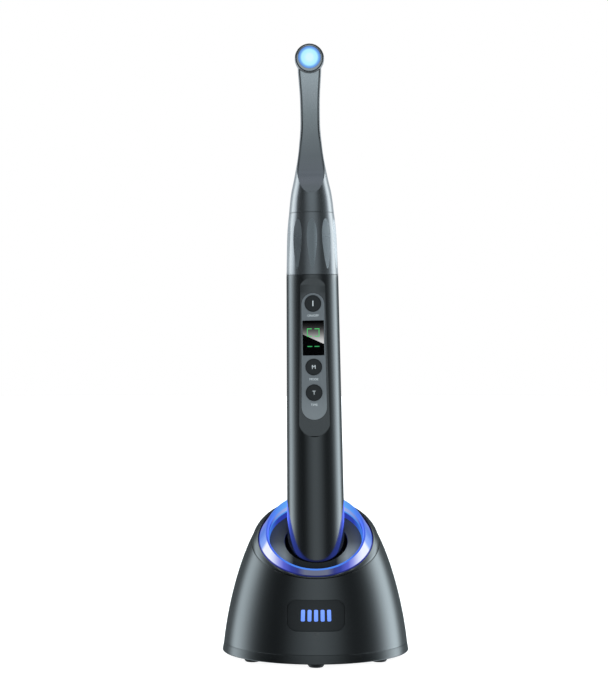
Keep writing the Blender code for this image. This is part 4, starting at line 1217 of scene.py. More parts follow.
@dataclass
class ChargingBase:
    """The domed charging base: shell, rim, light ring, cradle, tray, feet and its small parts."""

    foot_height: float = 2.0
    radius: float = 36.8
    dome_height: float = 61.5
    rise_power: float = 1.34
    rise_fall: float = 0.2
    round_power: float = 3.17
    wall: float = 2.0
    shell_low: float = 5.5
    shell_soft: float = 0.1
    relief_drops: tuple[float, float] = (7.8, -5.0)
    tray_edge: float = 0.45
    tray_flare: float = 0.28
    tray_wall: float = 1.6
    tray_floor: float = 2.6
    feet: int = 6
    screws: int = 4
    parting_tilt: float = math.radians(25.5)
    parting_height: float = 48.4
    face_tilt: float = math.radians(34.0)
    face_middle: tuple[float, float, float] = (0.0, -10.3, 47.15)
    rim_inner: float = 22.55
    rim_crown: float = 0.35
    rim_back_crown: float = 2.6
    rim_groove: float = 0.22
    rim_gap: float = 0.04
    skirt_outer: float = 22.85
    flange_drop: float = 6.0
    ring_outer: float = 22.4
    ring_top: float = 19.6
    ring_land: float = 0.7
    ring_inner: float = 18.3
    ring_rise: float = 4.1
    ring_rise_slope: float = 0.177
    ring_sunk: float = 4.4
    ring_shade: float = 0.36
    ring_line: float = 0.5
    ring_brow: float = 0.87
    ring_front: float = -0.5
    ring_edge: float = 0.12
    glow_lift: float = 1.8
    dish_radius: float = 18.15
    dish_sunk: float = 0.3
    dish_crown: float = 0.35
    mouth_tilt: float = math.radians(30.2)
    mouth_middle: float = 46.4
    mouth_soft: float = 0.3
    socket_radius: float = 12.2
    socket_wall: float = 1.5
    socket_bottom: float = 13.7
    socket_middle: tuple[float, float] = (0.15, -11.2)
    panel_width: float = 22.0
    panel_height: float = 11.6
    panel_corner: float = 3.5
    panel_middle: float = 20.2
    panel_sunk: float = 0.35
    panel_thick: float = 0.8
    gap: float = 0.08

    def build(self) -> None:
        """Builds and dresses every piece of the base."""
        self.build_shell()
        self.build_rim()
        self.build_light_ring()
        self.build_cradle()
        self.build_tray()
        self.build_feet()
        self.build_front_panel()
        self.build_inlet()
        self.build_screws()
        self.build_contacts()

    def dome(self, height: float) -> float:
        """Outer radius of the dome at a height.

        Args:
            height: The height above the table.

        Returns:
            The radius.
        """
        rise = min(max(height - self.foot_height, 0.0) / self.dome_height, 1.0)
        power = self.rise_power - self.rise_fall * rise
        return self.radius * (1.0 - rise**power) ** (1.0 / self.round_power)

    def on_wall(self, angle: float, height: float, inset: float) -> Vector:
        """A point of the dome's wall.

        Args:
            angle: Its direction in plan, counted from the front.
            height: Its height above the table.
            inset: How far it lies inside the outer surface.

        Returns:
            The point.
        """
        radius = self.dome(height) - inset
        return Vector((radius * math.sin(angle), -radius * math.cos(angle), height))

    def parting_top(self, angle: float) -> float:
        """Finds where the slanted parting plane meets the dome in a direction in plan.

        Args:
            angle: The direction, counted from the front.

        Returns:
            The height above the table.
        """
        low, high = self.shell_low, self.foot_height + self.dome_height
        for _ in range(40):
            height = (low + high) / 2.0
            plane = self.parting_height - self.dome(height) * math.cos(angle) * math.tan(self.parting_tilt)
            low, high = (height, high) if height < plane else (low, height)
        return height

    def on_face(self, angle: float, radius: float, rise: float = 0.0, drop: float = 0.0) -> Vector:
        """A point by its place on the slanted face.

        Args:
            angle: Its direction on the face.
            radius: Its distance from the face's middle.
            rise: Its height off the face.
            drop: How far it is then let straight down.

        Returns:
            The point.
        """
        along = radius * math.sin(angle)
        lean, stand = math.sin(self.face_tilt), math.cos(self.face_tilt)
        across = radius * math.cos(angle)
        off = Vector((across, along * stand - rise * lean, along * lean + rise * stand - drop))
        return Vector(self.face_middle) + off

    def face_height(self, depth: float) -> float:
        """Height of the face at a depth."""
        return self.face_middle[2] + (depth - self.face_middle[1]) * math.tan(self.face_tilt)

    def face_loop(self, radius: float, rise: float = 0.0, drop: float = 0.0) -> list[Vector]:
        """A circle on the face, lifted off it or let straight down."""
        return [self.on_face(angle, radius, rise, drop) for angle in turn(FINE)]

    def build_shell(self) -> None:
        """The dome up to its parting line, with the panel's pocket and the inlet's slot."""
        angles = turn(FINE)
        tops = [self.parting_top(angle) for angle in angles]
        low, soft = self.shell_low, self.shell_soft

        def wall_loop(inset: float, share: float, shift: float = 0.0) -> list[Vector]:
            """A loop at an inset and a share of the wall's height, moved up or down."""
            heights = [low + (top - low) * share + shift for top in tops]
            return [self.on_wall(angle, height, inset) for angle, height in zip(angles, heights)]

        corner = [(soft * (1.0 - math.cos(a)), soft * math.sin(a)) for a in spaced(0.0, math.pi / 2.0, 5)]
        loops = [wall_loop(self.wall, 0.0)]
        loops += [wall_loop(inset, 0.0, soft - rise) for inset, rise in reversed(corner)]
        loops += [wall_loop(0.0, share, soft * (1.0 - 2.0 * share)) for share in spaced(0.0, 1.0, 40)[1:-1]]
        loops += [wall_loop(inset, 1.0, rise - soft) for inset, rise in corner]
        loops += [wall_loop(self.wall, share) for share in spaced(1.0, 0.05, 12)]
        shell = skin("dome_shell", loops, ring=True)
        relief_radius = self.skirt_outer + self.gap
        relief = skin("rim_relief", [self.face_loop(relief_radius, drop=drop) for drop in self.relief_drops])
        depth = self.panel_sunk + self.panel_thick + self.gap
        pocket = self.panel_blank("panel_pocket", proud=3.0, sunk=depth, margin=self.gap)
        size = node_size("power_inlet")
        slot_gap, slot_length, slot_end, slot_corner = 0.6, 30.0, 60.0, 1.6
        slot_outline = round_rectangle(size.x + slot_gap, size.z + slot_gap, slot_corner)
        slot = move(plate("inlet_slot", [slot_outline], 0.0, slot_length), FACING_FRONT)
        move(slot, Matrix.Translation((0.0, slot_end, self.inlet_height())))
        carve(shell, relief, pocket, slot)
        deliver(shell, BLACK_SATIN, Body.BASE, "base_shell")

    @staticmethod
    def inlet_height() -> float:
        """Height of the power inlet's middle."""
        low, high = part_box("power_inlet")
        return (low.z + high.z) / 2.0 / MM

    def panel_blank(self, name: str, proud: float, sunk: float, margin: float) -> Thing:
        """A round-cornered piece of the dome's front wall.

        Args:
            name: The object's name.
            proud: How far it stands out of the dome's surface.
            sunk: How deep it reaches under the surface.
            margin: How much larger it is than the panel.

        Returns:
            The new object.
        """
        spare, near, far = 4.0, 15.0, 60.0
        half = self.panel_height / 2.0 + spare
        heights = spaced(self.panel_middle + half, self.panel_middle - half, 24)
        outer = [(self.dome(height) + proud, height) for height in heights]
        inner = [(self.dome(height) - sunk, height) for height in reversed(heights)]
        blank = turned(name, outer + inner, 2 * FINE, ring=True)
        width, height = self.panel_width + 2.0 * margin, self.panel_height + 2.0 * margin
        outline = round_rectangle(width, height, self.panel_corner + margin)
        window = plate(name + "_window", [outline], near, far)
        carve(blank, move(window, up(self.panel_middle) @ FACING_FRONT), way="INTERSECT")
        return blank

    def build_front_panel(self) -> None:
        """The dark panel let into the front, with a row of plain charge-level bars."""
        depth = self.panel_sunk + self.panel_thick
        panel = self.panel_blank("front_panel_glass", proud=-self.panel_sunk, sunk=depth, margin=0.0)
        deliver(panel, PANEL_GLASS, Body.BASE, "front_panel")
        bars, step, root, proud = 5, 2.5, -0.6, 0.03
        outline = round_rectangle(1.5, 4.4, 0.45)
        fall = self.dome(self.panel_middle - 1.0) - self.dome(self.panel_middle + 1.0)
        lean = Matrix.Rotation(-math.atan(fall / 2.0), 4, "X")
        for number in range(bars):
            x = (number - (bars - 1) / 2.0) * step
            front = math.sqrt((self.dome(self.panel_middle) - self.panel_sunk) ** 2 - x * x)
            bar = plate(f"charge_bar_{number + 1}", [outline], root, proud, 0.01)
            face = Matrix.Rotation(math.asin(x / front), 4, "Z") @ lean
            spot = Matrix.Translation((x, -front, self.panel_middle))
            deliver(bar, CHARGE_BLUE, Body.BASE, place=spot @ face @ FACING_FRONT)

    def build_rim(self) -> None:
        """The crowned rim between the dome's parting line and the light ring."""
        angles = turn(FINE)
        outer = [self.rim_edge(angle) for angle in angles]
        inner = self.face_loop(self.rim_inner)
        normal = Vector((0.0, -math.sin(self.face_tilt), math.cos(self.face_tilt)))
        start, run, power = 0.3, 1.1, 1.5
        crowns = []
        for angle in angles:
            back = min(max((math.sin(angle) + start) / run, 0.0), 1.0)
            crowns.append(self.rim_crown + self.rim_back_crown * back**power)

        def under(share: float, depth: float) -> list[Vector]:
            """A loop under the rim, at a share of its width."""
            return [p.lerp(q, share) - normal * depth for p, q in zip(outer, inner)]

        loops = [under(0.08, 0.45)]
        for share in spaced(0.0, 1.0, 20):
            bulge = 1.0 - (2.0 * share - 1.0) ** 4
            loops.append([p.lerp(q, share) + normal * c * bulge for p, q, c in zip(outer, inner, crowns)])
        skirt_end = self.flange_drop - 0.3
        loops += [self.face_loop(radius, drop=skirt_end) for radius in (self.rim_inner, self.skirt_outer)]
        loops.append(under(0.9, 0.6))
        rim = skin("slanted_rim", loops, ring=True)
        deliver(rim, BLACK_SATIN, Body.BASE, "base_rim")

    def rim_edge(self, angle: float) -> Vector:
        """Finds where the rim meets the dome's parting line.

        Args:
            angle: The direction on the face.

        Returns:
            The point of the rim's outer edge.
        """
        near, far = self.ring_inner, 2.0 * self.radius
        for _ in range(40):
            radius = (near + far) / 2.0
            spot = self.on_face(angle, radius)
            spot.z = self.parting_height + spot.y * math.tan(self.parting_tilt) + self.rim_groove
            inside = math.hypot(spot.x, spot.y) < self.dome(spot.z) - self.rim_gap
            near, far = (radius, far) if inside else (near, radius)
        return spot

    def build_light_ring(self) -> None:
        """The clear blue ring that stands out of the rim, with a lit crest."""
        top, land = self.ring_top, self.ring_land
        wall = [(self.ring_outer, 0.0), (top, 1.0), (top - land, 1.0), (self.ring_inner, 0.0)]
        section = rounded(wall, 0.35, 6)
        crest_share = 0.93
        crest = [i for i, point in enumerate(section) if point[1] > crest_share]
        loops = [self.face_loop(self.ring_outer, drop=self.ring_sunk)]
        for radius, share in section:
            loops.append([self.ring_point(angle, radius, share) for angle in turn(FINE)])
        foot = loops.pop()
        outer_foot, inner_top = loops[1], loops[-1]
        for share in (self.ring_brow, 1.0 - self.ring_line, self.ring_shade):
            loops.append([p.lerp(q, share) for p, q in zip(foot, inner_top)])
        loops.insert(2, [p.lerp(q, self.ring_edge) for p, q in zip(outer_foot, loops[2])])
        loops += [foot, self.face_loop(self.ring_inner, drop=self.ring_sunk)]
        starts = (2, crest[0] + 2, len(loops) - 5, len(loops) - 4, len(loops) - 3)
        ahead = [math.sin(angle) < self.ring_front for angle in turn(FINE)]

        def finish_of(loop: int, place: int) -> int:
            """The band that a loop lies in, from outer foot to inner foot, or the outer wall's front."""
            band = sum(loop >= start for start in starts)
            return len(starts) + 1 if band == 1 and ahead[place % FINE] else band

        ring = skin("light_ring_acrylic", loops, ring=True, finish_of=finish_of)
        # The outer wall's finishes carry painted reflections of the studio light over the ring's glow.
        finishes = (RING_EDGE, RING_OUTER_PAINTED_REFLECTION, RING_CREST, RING_INNER, RING_LINE, RING_SHADE, RING_FRONT_PAINTED_REFLECTION)
        deliver(ring, finishes, Body.BASE, "light_ring")
        self.build_glow()

    def ring_point(self, angle: float, radius: float, share: float) -> Vector:
        """A point of the ring at a share of its height, which grows towards the back."""
        height = self.ring_rise + self.ring_rise_slope * radius * math.sin(angle)
        return self.on_face(angle, radius, height * share)

    def build_glow(self) -> None:
        """The light that the ring sheds on the handpiece: a band that only mirrors show."""
        loops = []
        outer, inner = 0.1, 0.15
        for inset, share in ((outer, 0.0), (outer, 1.0), (inner, 1.0), (inner, 0.0)):
            lift = Vector((0.0, 0.0, self.glow_lift * share))
            radius = self.ring_inner - inset
            loops.append([self.ring_point(angle, radius, share) + lift for angle in turn(FINE)])
        stage_light(skin("ring_glow_band", loops, ring=True), RING_GLOW)

    def socket_loop(self, radius: float, height_of: Callable[[float], float]) -> list[Vector]:
        """A loop on an upright cylinder about the socket, at a height that may follow the depth."""
        return [Vector((x, y, height_of(y))) for x, y in circle(radius, FINE, self.socket_middle)]

    def build_cradle(self) -> None:
        """The dished face, its flange under the ring and the upright socket, as one moulding."""
        outer_radius = self.socket_radius + self.socket_wall
        flange, corner, floor_thick, dish_soft, barrel_hole = 1.5, 0.6, 1.7, 0.3, 1.75
        under = self.flange_drop + flange

        def at_mouth(drop: float) -> Callable[[float], float]:
            """Heights that follow the socket's mouth at a drop below it."""
            slope = math.tan(self.mouth_tilt)
            return lambda depth: self.mouth_middle + (depth - self.socket_middle[1]) * slope - drop

        floor = self.socket_bottom
        loops = [[Vector((*self.socket_middle, floor))]]
        loops.append(self.socket_loop(self.socket_radius - corner, lambda depth: floor))
        loops.append(self.socket_loop(self.socket_radius, lambda depth: floor + corner))
        for angle in spaced(0.0, math.pi / 2.0, 6):
            reach = self.mouth_soft * (1.0 - math.cos(angle))
            sunk = self.mouth_soft * (1.0 - math.sin(angle))
            loops.append(self.socket_loop(self.socket_radius + reach, at_mouth(sunk)))
        dish_start = len(loops) - 1
        mouth = loops[-1]
        edge = self.face_loop(self.dish_radius - dish_soft, drop=self.dish_sunk)
        for share in spaced(0.0, 1.0, 10)[1:]:
            crown = self.dish_crown * 4.0 * share * (1.0 - share)
            loops.append([p.lerp(q, share) + Vector((0.0, 0.0, crown)) for p, q in zip(mouth, edge)])
        dish = range(dish_start, len(loops))
        loops += [
            self.face_loop(self.dish_radius, drop=self.dish_sunk + dish_soft),
            self.face_loop(self.dish_radius, drop=self.flange_drop),
            self.face_loop(self.skirt_outer, drop=self.flange_drop),
            self.face_loop(self.skirt_outer, drop=under),
            self.socket_loop(outer_radius, lambda depth: self.face_height(depth) - under),
            self.socket_loop(outer_radius, lambda depth: floor - floor_thick),
        ]

        def finish_of(loop: int, place: int) -> int:
            """The dished face has its own finish, with painted reflections."""
            return 1 if loop in dish else 0

        cradle = paint(skin("cradle_moulding", loops, finish_of=finish_of), SOCKET_BLACK, DISH_PAINTED_REFLECTION)
        for node in ("centre_pin_barrel", "outer_pin_barrel"):
            hole = rod("pin_hole", barrel_hole, 0.0, 30.0)
            carve(cradle, move(paint(hole, SOCKET_BLACK), node_axis(node)))
        deliver(cradle, (SOCKET_BLACK, DISH_PAINTED_REFLECTION), Body.BASE, "cradle")

    def build_tray(self) -> None:
        """The bottom tray: a band that carries on the dome's line, with a soft lower edge."""
        band_top = self.shell_low - self.gap / 2.0
        soft, edge = 0.04, self.tray_edge
        edge_top = self.foot_height + edge
        edge_radius = self.dome(edge_top) + self.tray_flare
        outer = [(self.dome(band_top) - soft, band_top), (self.dome(band_top - soft), band_top - soft)]
        for angle in spaced(0.0, math.pi / 2.0, 8):
            outer.append((edge_radius - edge * (1.0 - math.cos(angle)), edge_top - edge * math.sin(angle)))
        inner = self.dome(band_top) - self.tray_wall
        floor_top = self.foot_height + self.tray_floor
        profile = [(0.0, floor_top), (inner, floor_top), (inner, band_top), *outer, (0.0, self.foot_height)]
        tray = turned("bottom_tray", profile, FINE)
        foot_hole, foot_sunk = 3.45, 3.4
        for number in range(1, self.feet + 1):
            pocket = rod("foot_pocket", foot_hole, -1.0, foot_sunk)
            carve(tray, move(pocket, node_axis(f"foot_{number}")))
        head, step, shank, top = 2.85, 1.3, 1.5, 6.0
        sink = [(0.0, -2.0), (head, -2.0), (head, step), (shank, step), (shank, top), (0.0, top)]
        for number in range(1, self.screws + 1):
            carve(tray, move(turned("screw_sink", sink, SMALL), node_axis(f"base_screw_{number}")))
        deliver(tray, TRAY_BLACK, Body.BASE, "base_tray")

    def build_feet(self) -> None:
        """Six soft-edged rubber feet with a shallow hollow underneath."""
        hollow, tread, bulge = 0.4, 0.1, 1.2
        for number in range(1, self.feet + 1):
            node = f"foot_{number}"
            size = node_size(node)
            edge = size.x / 2.0
            corners = [(0.0, hollow), (edge - 1.6, hollow), (edge - 1.3, tread), (edge - 0.5, tread)]
            corners += [(edge + 0.2, bulge), (edge, size.z), (0.0, size.z)]
            foot = turned(f"rubber_foot_{number}", rounded(corners, 0.4, 4), SMALL)
            deliver(foot, RUBBER, Body.BASE, node, place=node_axis(node))

    def build_inlet(self) -> None:
        """The power inlet at the back: a rounded metal shell with a contact tongue."""
        size = node_size("power_inlet")
        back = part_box("power_inlet")[1].y / MM
        place = Matrix.Translation((0.0, back, self.inlet_height())) @ FACING_FRONT
        corner, wall, end_wall = 1.5, 0.4, 1.2
        outline = round_rectangle(size.x, size.z, corner)
        mouth = round_rectangle(size.x - 2.0 * wall, size.z - 2.0 * wall, corner - wall)
        shell = plate("inlet_shell", [outline], 0.0, size.y, 0.12)
        carve(shell, plate("inlet_mouth", [mouth], -1.0, size.y - end_wall))
        deliver(shell, SATIN_STEEL, Body.BASE, "power_inlet", place=place)
        side, thick, sunk = 1.3, 0.7, 0.6
        tongue_outline = round_rectangle(size.x - 2.0 * side, thick, 0.3)
        tongue = plate("inlet_tongue", [tongue_outline], sunk, size.y - 1.0, 0.05)
        deliver(tongue, SOCKET_BLACK, Body.BASE, place=place)

    def build_screws(self) -> None:
        """Four pan-head screws with cross recesses under the tray."""
        shank, head_height, point = 1.2, 1.1, 0.5
        for number in range(1, self.screws + 1):
            node = f"base_screw_{number}"
            size = node_size(node)
            head = size.x / 2.0
            corners = [(0.0, 0.0), (head, 0.0), (head, head_height), (shank, head_height)]
            corners += [(shank, size.z - point), (0.0, size.z)]
            screw = turned(f"tray_screw_{number}", rounded(corners, 0.35, 4), SMALL)
            for spin in (0.0, math.pi / 2.0):
                blade = plate("cross_blade", [round_rectangle(2.6, 0.55, 0.2)], -0.5, 0.7)
                carve(screw, move(blade, Matrix.Rotation(spin, 4, "Z")))
            deliver(screw, SATIN_STEEL, Body.BASE, node, place=node_axis(node))

    def build_contacts(self) -> None:
        """The two sprung charging pins and their barrels in the socket."""
        pin_radius, barrel_radii = 0.7, (1.6, 1.0)
        for side, body in (("centre", Body.CENTRE_PIN), ("outer", Body.OUTER_PIN)):
            node = f"{side}_contact_pin"
            pin = rod(f"{side}_sprung_pin", pin_radius, 0.0, node_size(node).z, 0.45, 6)
            deliver(pin, GOLD_PLATE, body, node, place=node_axis(node))
            node = f"{side}_pin_barrel"
            barrel = sleeve(f"{side}_barrel", barrel_radii, 0.0, node_size(node).z, 0.15, 3, SMALL)
            deliver(barrel, GOLD_PLATE, Body.BASE, node, place=node_axis(node))


@dataclass
class Handpiece:
    """The cordless pen: black body, control panel, display, buttons and metal grip."""

    body_low: float = 6.15
    body_top: float = 136.92
    low_radius: float = 11.2
    top_radius: float = 10.2
    taper_start: float = 46.0
    bore: float = 9.5
    bore_top: float = 74.0
    core: float = 7.6
    flat_depth: float = 9.05
    flat_widths: tuple[float, float] = (12.3, 10.9)
    flat_length: float = 62.0
    flat_middle: float = 104.7
    panel_widths: tuple[float, float] = (9.9, 8.9)
    panel_length: float = 49.3
    panel_middle: float = 105.0
    panel_face: float = 9.15
    panel_back: float = 8.35
    button_radius: float = 3.15
    button_proud: float = 0.35
    button_crown: float = 0.1
    button_heights: tuple[tuple[Body, str, float], ...] = (
        (Body.POWER, "power", 125.6),
        (Body.MODE, "mode", 100.9),
        (Body.TIME, "time", 90.9),
    )
    display_width: float = 8.2
    display_length: float = 13.4
    display_middle: float = 112.2
    grip_low: float = 136.98
    grip_top: float = 161.25
    grip: Track = Track(
        ((136.9, 10.2), (143.9, 9.98), (150.0, 9.8), (154.2, 9.58), (158.2, 9.23), (161.3, 8.86))
    )
    grip_flats: int = 10
    grip_flat_depth: float = 0.2
    grip_flat_middle: float = 149.7
    grip_flat_slope: float = math.radians(2.8)

    def build(self) -> None:
        """Builds and dresses every piece of the handpiece's body."""
        self.build_body()
        self.build_end_cap()
        self.build_panel()
        self.build_display()
        self.build_buttons()
        self.build_grip()

    def radius(self, height: float) -> float:
        """Outer radius of the black body at a height."""
        share = (height - self.taper_start) / (self.body_top - self.taper_start)
        return self.low_radius + (self.top_radius - self.low_radius) * min(max(share, 0.0), 1.0)

    @staticmethod
    def capsule(widths: tuple[float, float], length: float) -> Outline:
        """An upright round-ended outline whose ends have their own widths.

        Args:
            widths: Width of the lower end and of the upper end.
            length: Its whole length.

        Returns:
            The outline, about the origin.
        """
        points = []
        for width, start in ((widths[1], 0.0), (widths[0], math.pi)):
            radius = width / 2.0
            middle = (length / 2.0 - radius) * math.cos(start)
            for angle in spaced(start, start + math.pi, 32):
                points.append((radius * math.cos(angle), middle + radius * math.sin(angle)))
        return points

    def build_body(self) -> None:
        """The black tube with the flat for its control panel."""
        soft = 0.08
        profile = [(self.radius(self.body_top) - soft, self.body_top)]
        for height in spaced(self.body_top - soft, self.body_low + soft, 60):
            profile.append((self.radius(height), height))
        profile.append((self.low_radius - soft, self.body_low))
        profile += [(self.bore, self.body_low), (self.bore, self.bore_top)]
        profile += [(self.core, self.bore_top), (self.core, self.body_top)]
        body = turned("body_shell", profile, FINE, ring=True)
        far, gap, ledge = self.low_radius + 5.0, 0.1, 1.0
        seat = self.panel_back - 0.3
        flat = plate("panel_flat", [self.capsule(self.flat_widths, self.flat_length)], self.flat_depth, far)
        carve(body, move(flat, up(self.flat_middle) @ FACING_FRONT))
        for name, grow, near in (("panel_seat", gap, seat), ("panel_opening", -ledge, 0.0)):
            widths = tuple(width + 2.0 * grow for width in self.panel_widths)
            cut = plate(name, [self.capsule(widths, self.panel_length + 2.0 * grow)], near, far)
            carve(body, move(cut, up(self.panel_middle) @ FACING_FRONT))
        deliver(body, BLACK_SATIN, Body.HANDPIECE, "body_tube", place=PEN)

    def build_end_cap(self) -> None:
        """The end cap with its two charging contacts underneath."""
        soft, plug, plug_top, shoulder = 0.9, 9.2, 12.0, 6.0
        groove, groove_low, groove_high = 7.9, 8.2, 9.8
        edge = self.low_radius
        corners = [(0.0, plug_top), (plug, plug_top), (plug, groove_high), (groove, groove_high)]
        corners += [(groove, groove_low), (plug, groove_low), (plug, shoulder)]
        corners += [(edge, shoulder), (edge, soft)]
        for angle in spaced(0.2, math.pi / 2.0, 6):
            corners.append((edge - soft * (1.0 - math.cos(angle)), soft * (1.0 - math.sin(angle))))
        stud, band_radii, gap, deep = 2.0, (7.0, 5.0), 0.3, 1.7
        ring_out, ring_in, middle = band_radii[0] + gap, band_radii[1] - gap, stud + gap
        corners += [(ring_out, 0.0), (ring_out, deep), (ring_in, deep), (ring_in, 0.0)]
        corners += [(middle, 0.0), (middle, deep), (0.0, deep)]
        cap = turned("end_cap_moulding", corners, ROUND)
        deliver(cap, BLACK_SATIN, Body.HANDPIECE, "end_cap", place=PEN)
        low, high, contact_soft = 0.2, 1.4, 0.2
        centre = rod("centre_stud", stud, low, high, contact_soft)
        deliver(centre, GOLD_PLATE, Body.HANDPIECE, "centre_contact", place=PEN)
        ring = sleeve("contact_ring", band_radii, low, high, contact_soft)
        deliver(ring, GOLD_PLATE, Body.HANDPIECE, "ring_contact", place=PEN)

    def build_panel(self) -> None:
        """The grey control panel with holes for the display and buttons, and its printed names."""
        gap, key_gap, letter, ink = 0.1, 0.08, 0.86, 0.015
        middle = self.panel_middle
        outline = self.capsule(self.panel_widths, self.panel_length)
        shift = self.display_middle - middle
        opening = round_rectangle(self.display_width + 2.0 * gap, self.display_length + 2.0 * gap, 0.15, 3)
        window = [(x, y + shift) for x, y in opening]
        hole = self.button_radius + key_gap
        holes = [circle(hole, SMALL, (0.0, height - middle)) for _, _, height in self.button_heights]
        panel = plate("control_plate", [outline, window, *holes], self.panel_back, self.panel_face, 0.1)
        place = PEN @ up(middle) @ FACING_FRONT
        # The panel's finish carries a painted highlight towards its lower end.
        deliver(panel, GREY_PANEL_PAINTED_HIGHLIGHT, Body.HANDPIECE, "control_panel", place=place)
        for text, height in (("ON/OFF", 120.9), ("MODE", 96.15), ("TIME", 86.2)):
            name = "print_" + text.replace("/", "_").lower()
            label = words(name, text, letter, self.panel_face, self.panel_face + ink)
            deliver(label, PRINT_WHITE, Body.HANDPIECE, place=PEN @ up(height) @ FACING_FRONT)

    def build_display(self) -> None:
        """The glossy display window with plain lit segments."""
        outline = round_rectangle(self.display_width, self.display_length, 0.12, 3)
        face = self.panel_face + 0.02
        window = plate("display_pane", [outline], self.panel_back, face)
        place = PEN @ up(self.display_middle) @ FACING_FRONT
        deliver(window, DISPLAY_GLASS, Body.HANDPIECE, "display_window", place=place)
        line, arm, gap, lit = 0.32, 1.9, 0.06, 0.015
        left, right, low, high = -2.45, 2.4, 0.65, 3.55
        foot, inset = -3.3, 0.1
        starts = [(x, y) for y in (low, high) for x in (left, right - arm)]
        starts += [(left + inset, foot), (right - arm - inset, foot)]
        strokes = [("bar", (x, x + arm, y - line / 2.0, y + line / 2.0)) for x, y in starts]
        post_low, post_high = low + line / 2.0 + gap, high - line / 2.0 - gap
        strokes += [("post", (x, x + line, post_low, post_high)) for x in (left, right - line)]
        for number, (kind, (start, end, bottom, top)) in enumerate(strokes):
            corners = [(start, bottom), (end, bottom), (end, top), (start, top)]
            name = f"display_{kind}_{number % len(starts) + 1}"
            segment = plate(name, [rounded(corners, 0.1, 3, closed=True)], face, face + lit)
            deliver(segment, SEGMENT_GREEN, Body.HANDPIECE, place=place)

    def build_buttons(self) -> None:
        """Three push buttons with softly crowned faces and white marks."""
        face = self.panel_face + self.button_proud
        flange = self.panel_back - 0.3
        thick, lip, stem, stem_end = 0.6, 0.4, 1.2, 5.6
        edge = self.button_radius
        for body, name, height in self.button_heights:
            crown = [(edge * share, face - self.button_crown * share**2) for share in spaced(0.0, 0.9, 6)]
            side = rounded([crown[-1], (edge, face - self.button_crown), (edge, flange)], 0.3, 6)
            back = [(edge + lip, flange), (edge + lip, flange - thick), (stem, flange - thick)]
            profile = [*crown, *side[1:], *back, (stem, stem_end), (0.0, stem_end)]
            place = PEN @ up(height) @ FACING_FRONT
            button = turned(f"{name}_key", profile, ROUND)
            deliver(button, BUTTON_BLACK, body, f"{name}_button", place=place)
            low, high = face - self.button_crown / 2.0, face + 0.01
            if name == "power":
                mark = plate("power_mark", [round_rectangle(0.36, 2.2, 0.1, 3)], low, high)
            else:
                mark = words(f"{name}_mark", name[0].upper(), 1.5, low, high)
            deliver(mark, PRINT_WHITE, body, place=place)

    def build_grip(self) -> None:
        """The metal grip with its ring of oval finger flats."""
        soft = 0.05
        profile = [(self.grip.at(self.grip_top)[0] - soft, self.grip_top)]
        for height in spaced(self.grip_top - soft, self.grip_low + soft, 70):
            profile.append((self.grip.at(height)[0], height))
        profile.append((self.grip.at(self.grip_low)[0] - soft, self.grip_low))
        spigot, spigot_bore, spigot_end, bore, shoulder = 7.3, 6.3, 129.75, 7.0, 6.3
        step_low, step_high, shoulder_low, shoulder_high = 137.3, 137.6, 148.6, 150.6
        profile += [(spigot, self.grip_low), (spigot, spigot_end), (spigot_bore, spigot_end)]
        profile += [(spigot_bore, step_low), (bore, step_high), (bore, shoulder_low)]
        profile += [(shoulder, shoulder_low), (shoulder, shoulder_high), (bore, shoulder_high)]
        profile.append((bore, self.grip_top))
        grip = paint(turned("grip_shell", profile, FINE, ring=True), GUNMETAL)
        radius = self.grip.at(self.grip_flat_middle)[0] - self.grip_flat_depth
        cutter = round_rectangle(10.0, 40.0, 1.0, 2)
        tools = []
        for number in range(self.grip_flats):
            # Each flat takes the finish with painted side light, lighter towards the right.
            block = paint(plate(f"flat_{number}", [cutter], 0.0, 6.0), FLAT_METAL_PAINTED_SIDE_LIGHT)
            spin = Matrix.Rotation(2.0 * math.pi * number / self.grip_flats, 4, "Z")
            seat = Matrix.Translation((0.0, -radius, self.grip_flat_middle))
            tilt = Matrix.Rotation(-self.grip_flat_slope, 4, "X")
            tools.append(move(block, spin @ seat @ tilt @ FACING_FRONT))
        carve(grip, *tools)
        deliver(grip, (GUNMETAL, FLAT_METAL_PAINTED_SIDE_LIGHT), Body.HANDPIECE, "grip_sleeve", place=PEN, sharp=4.0)


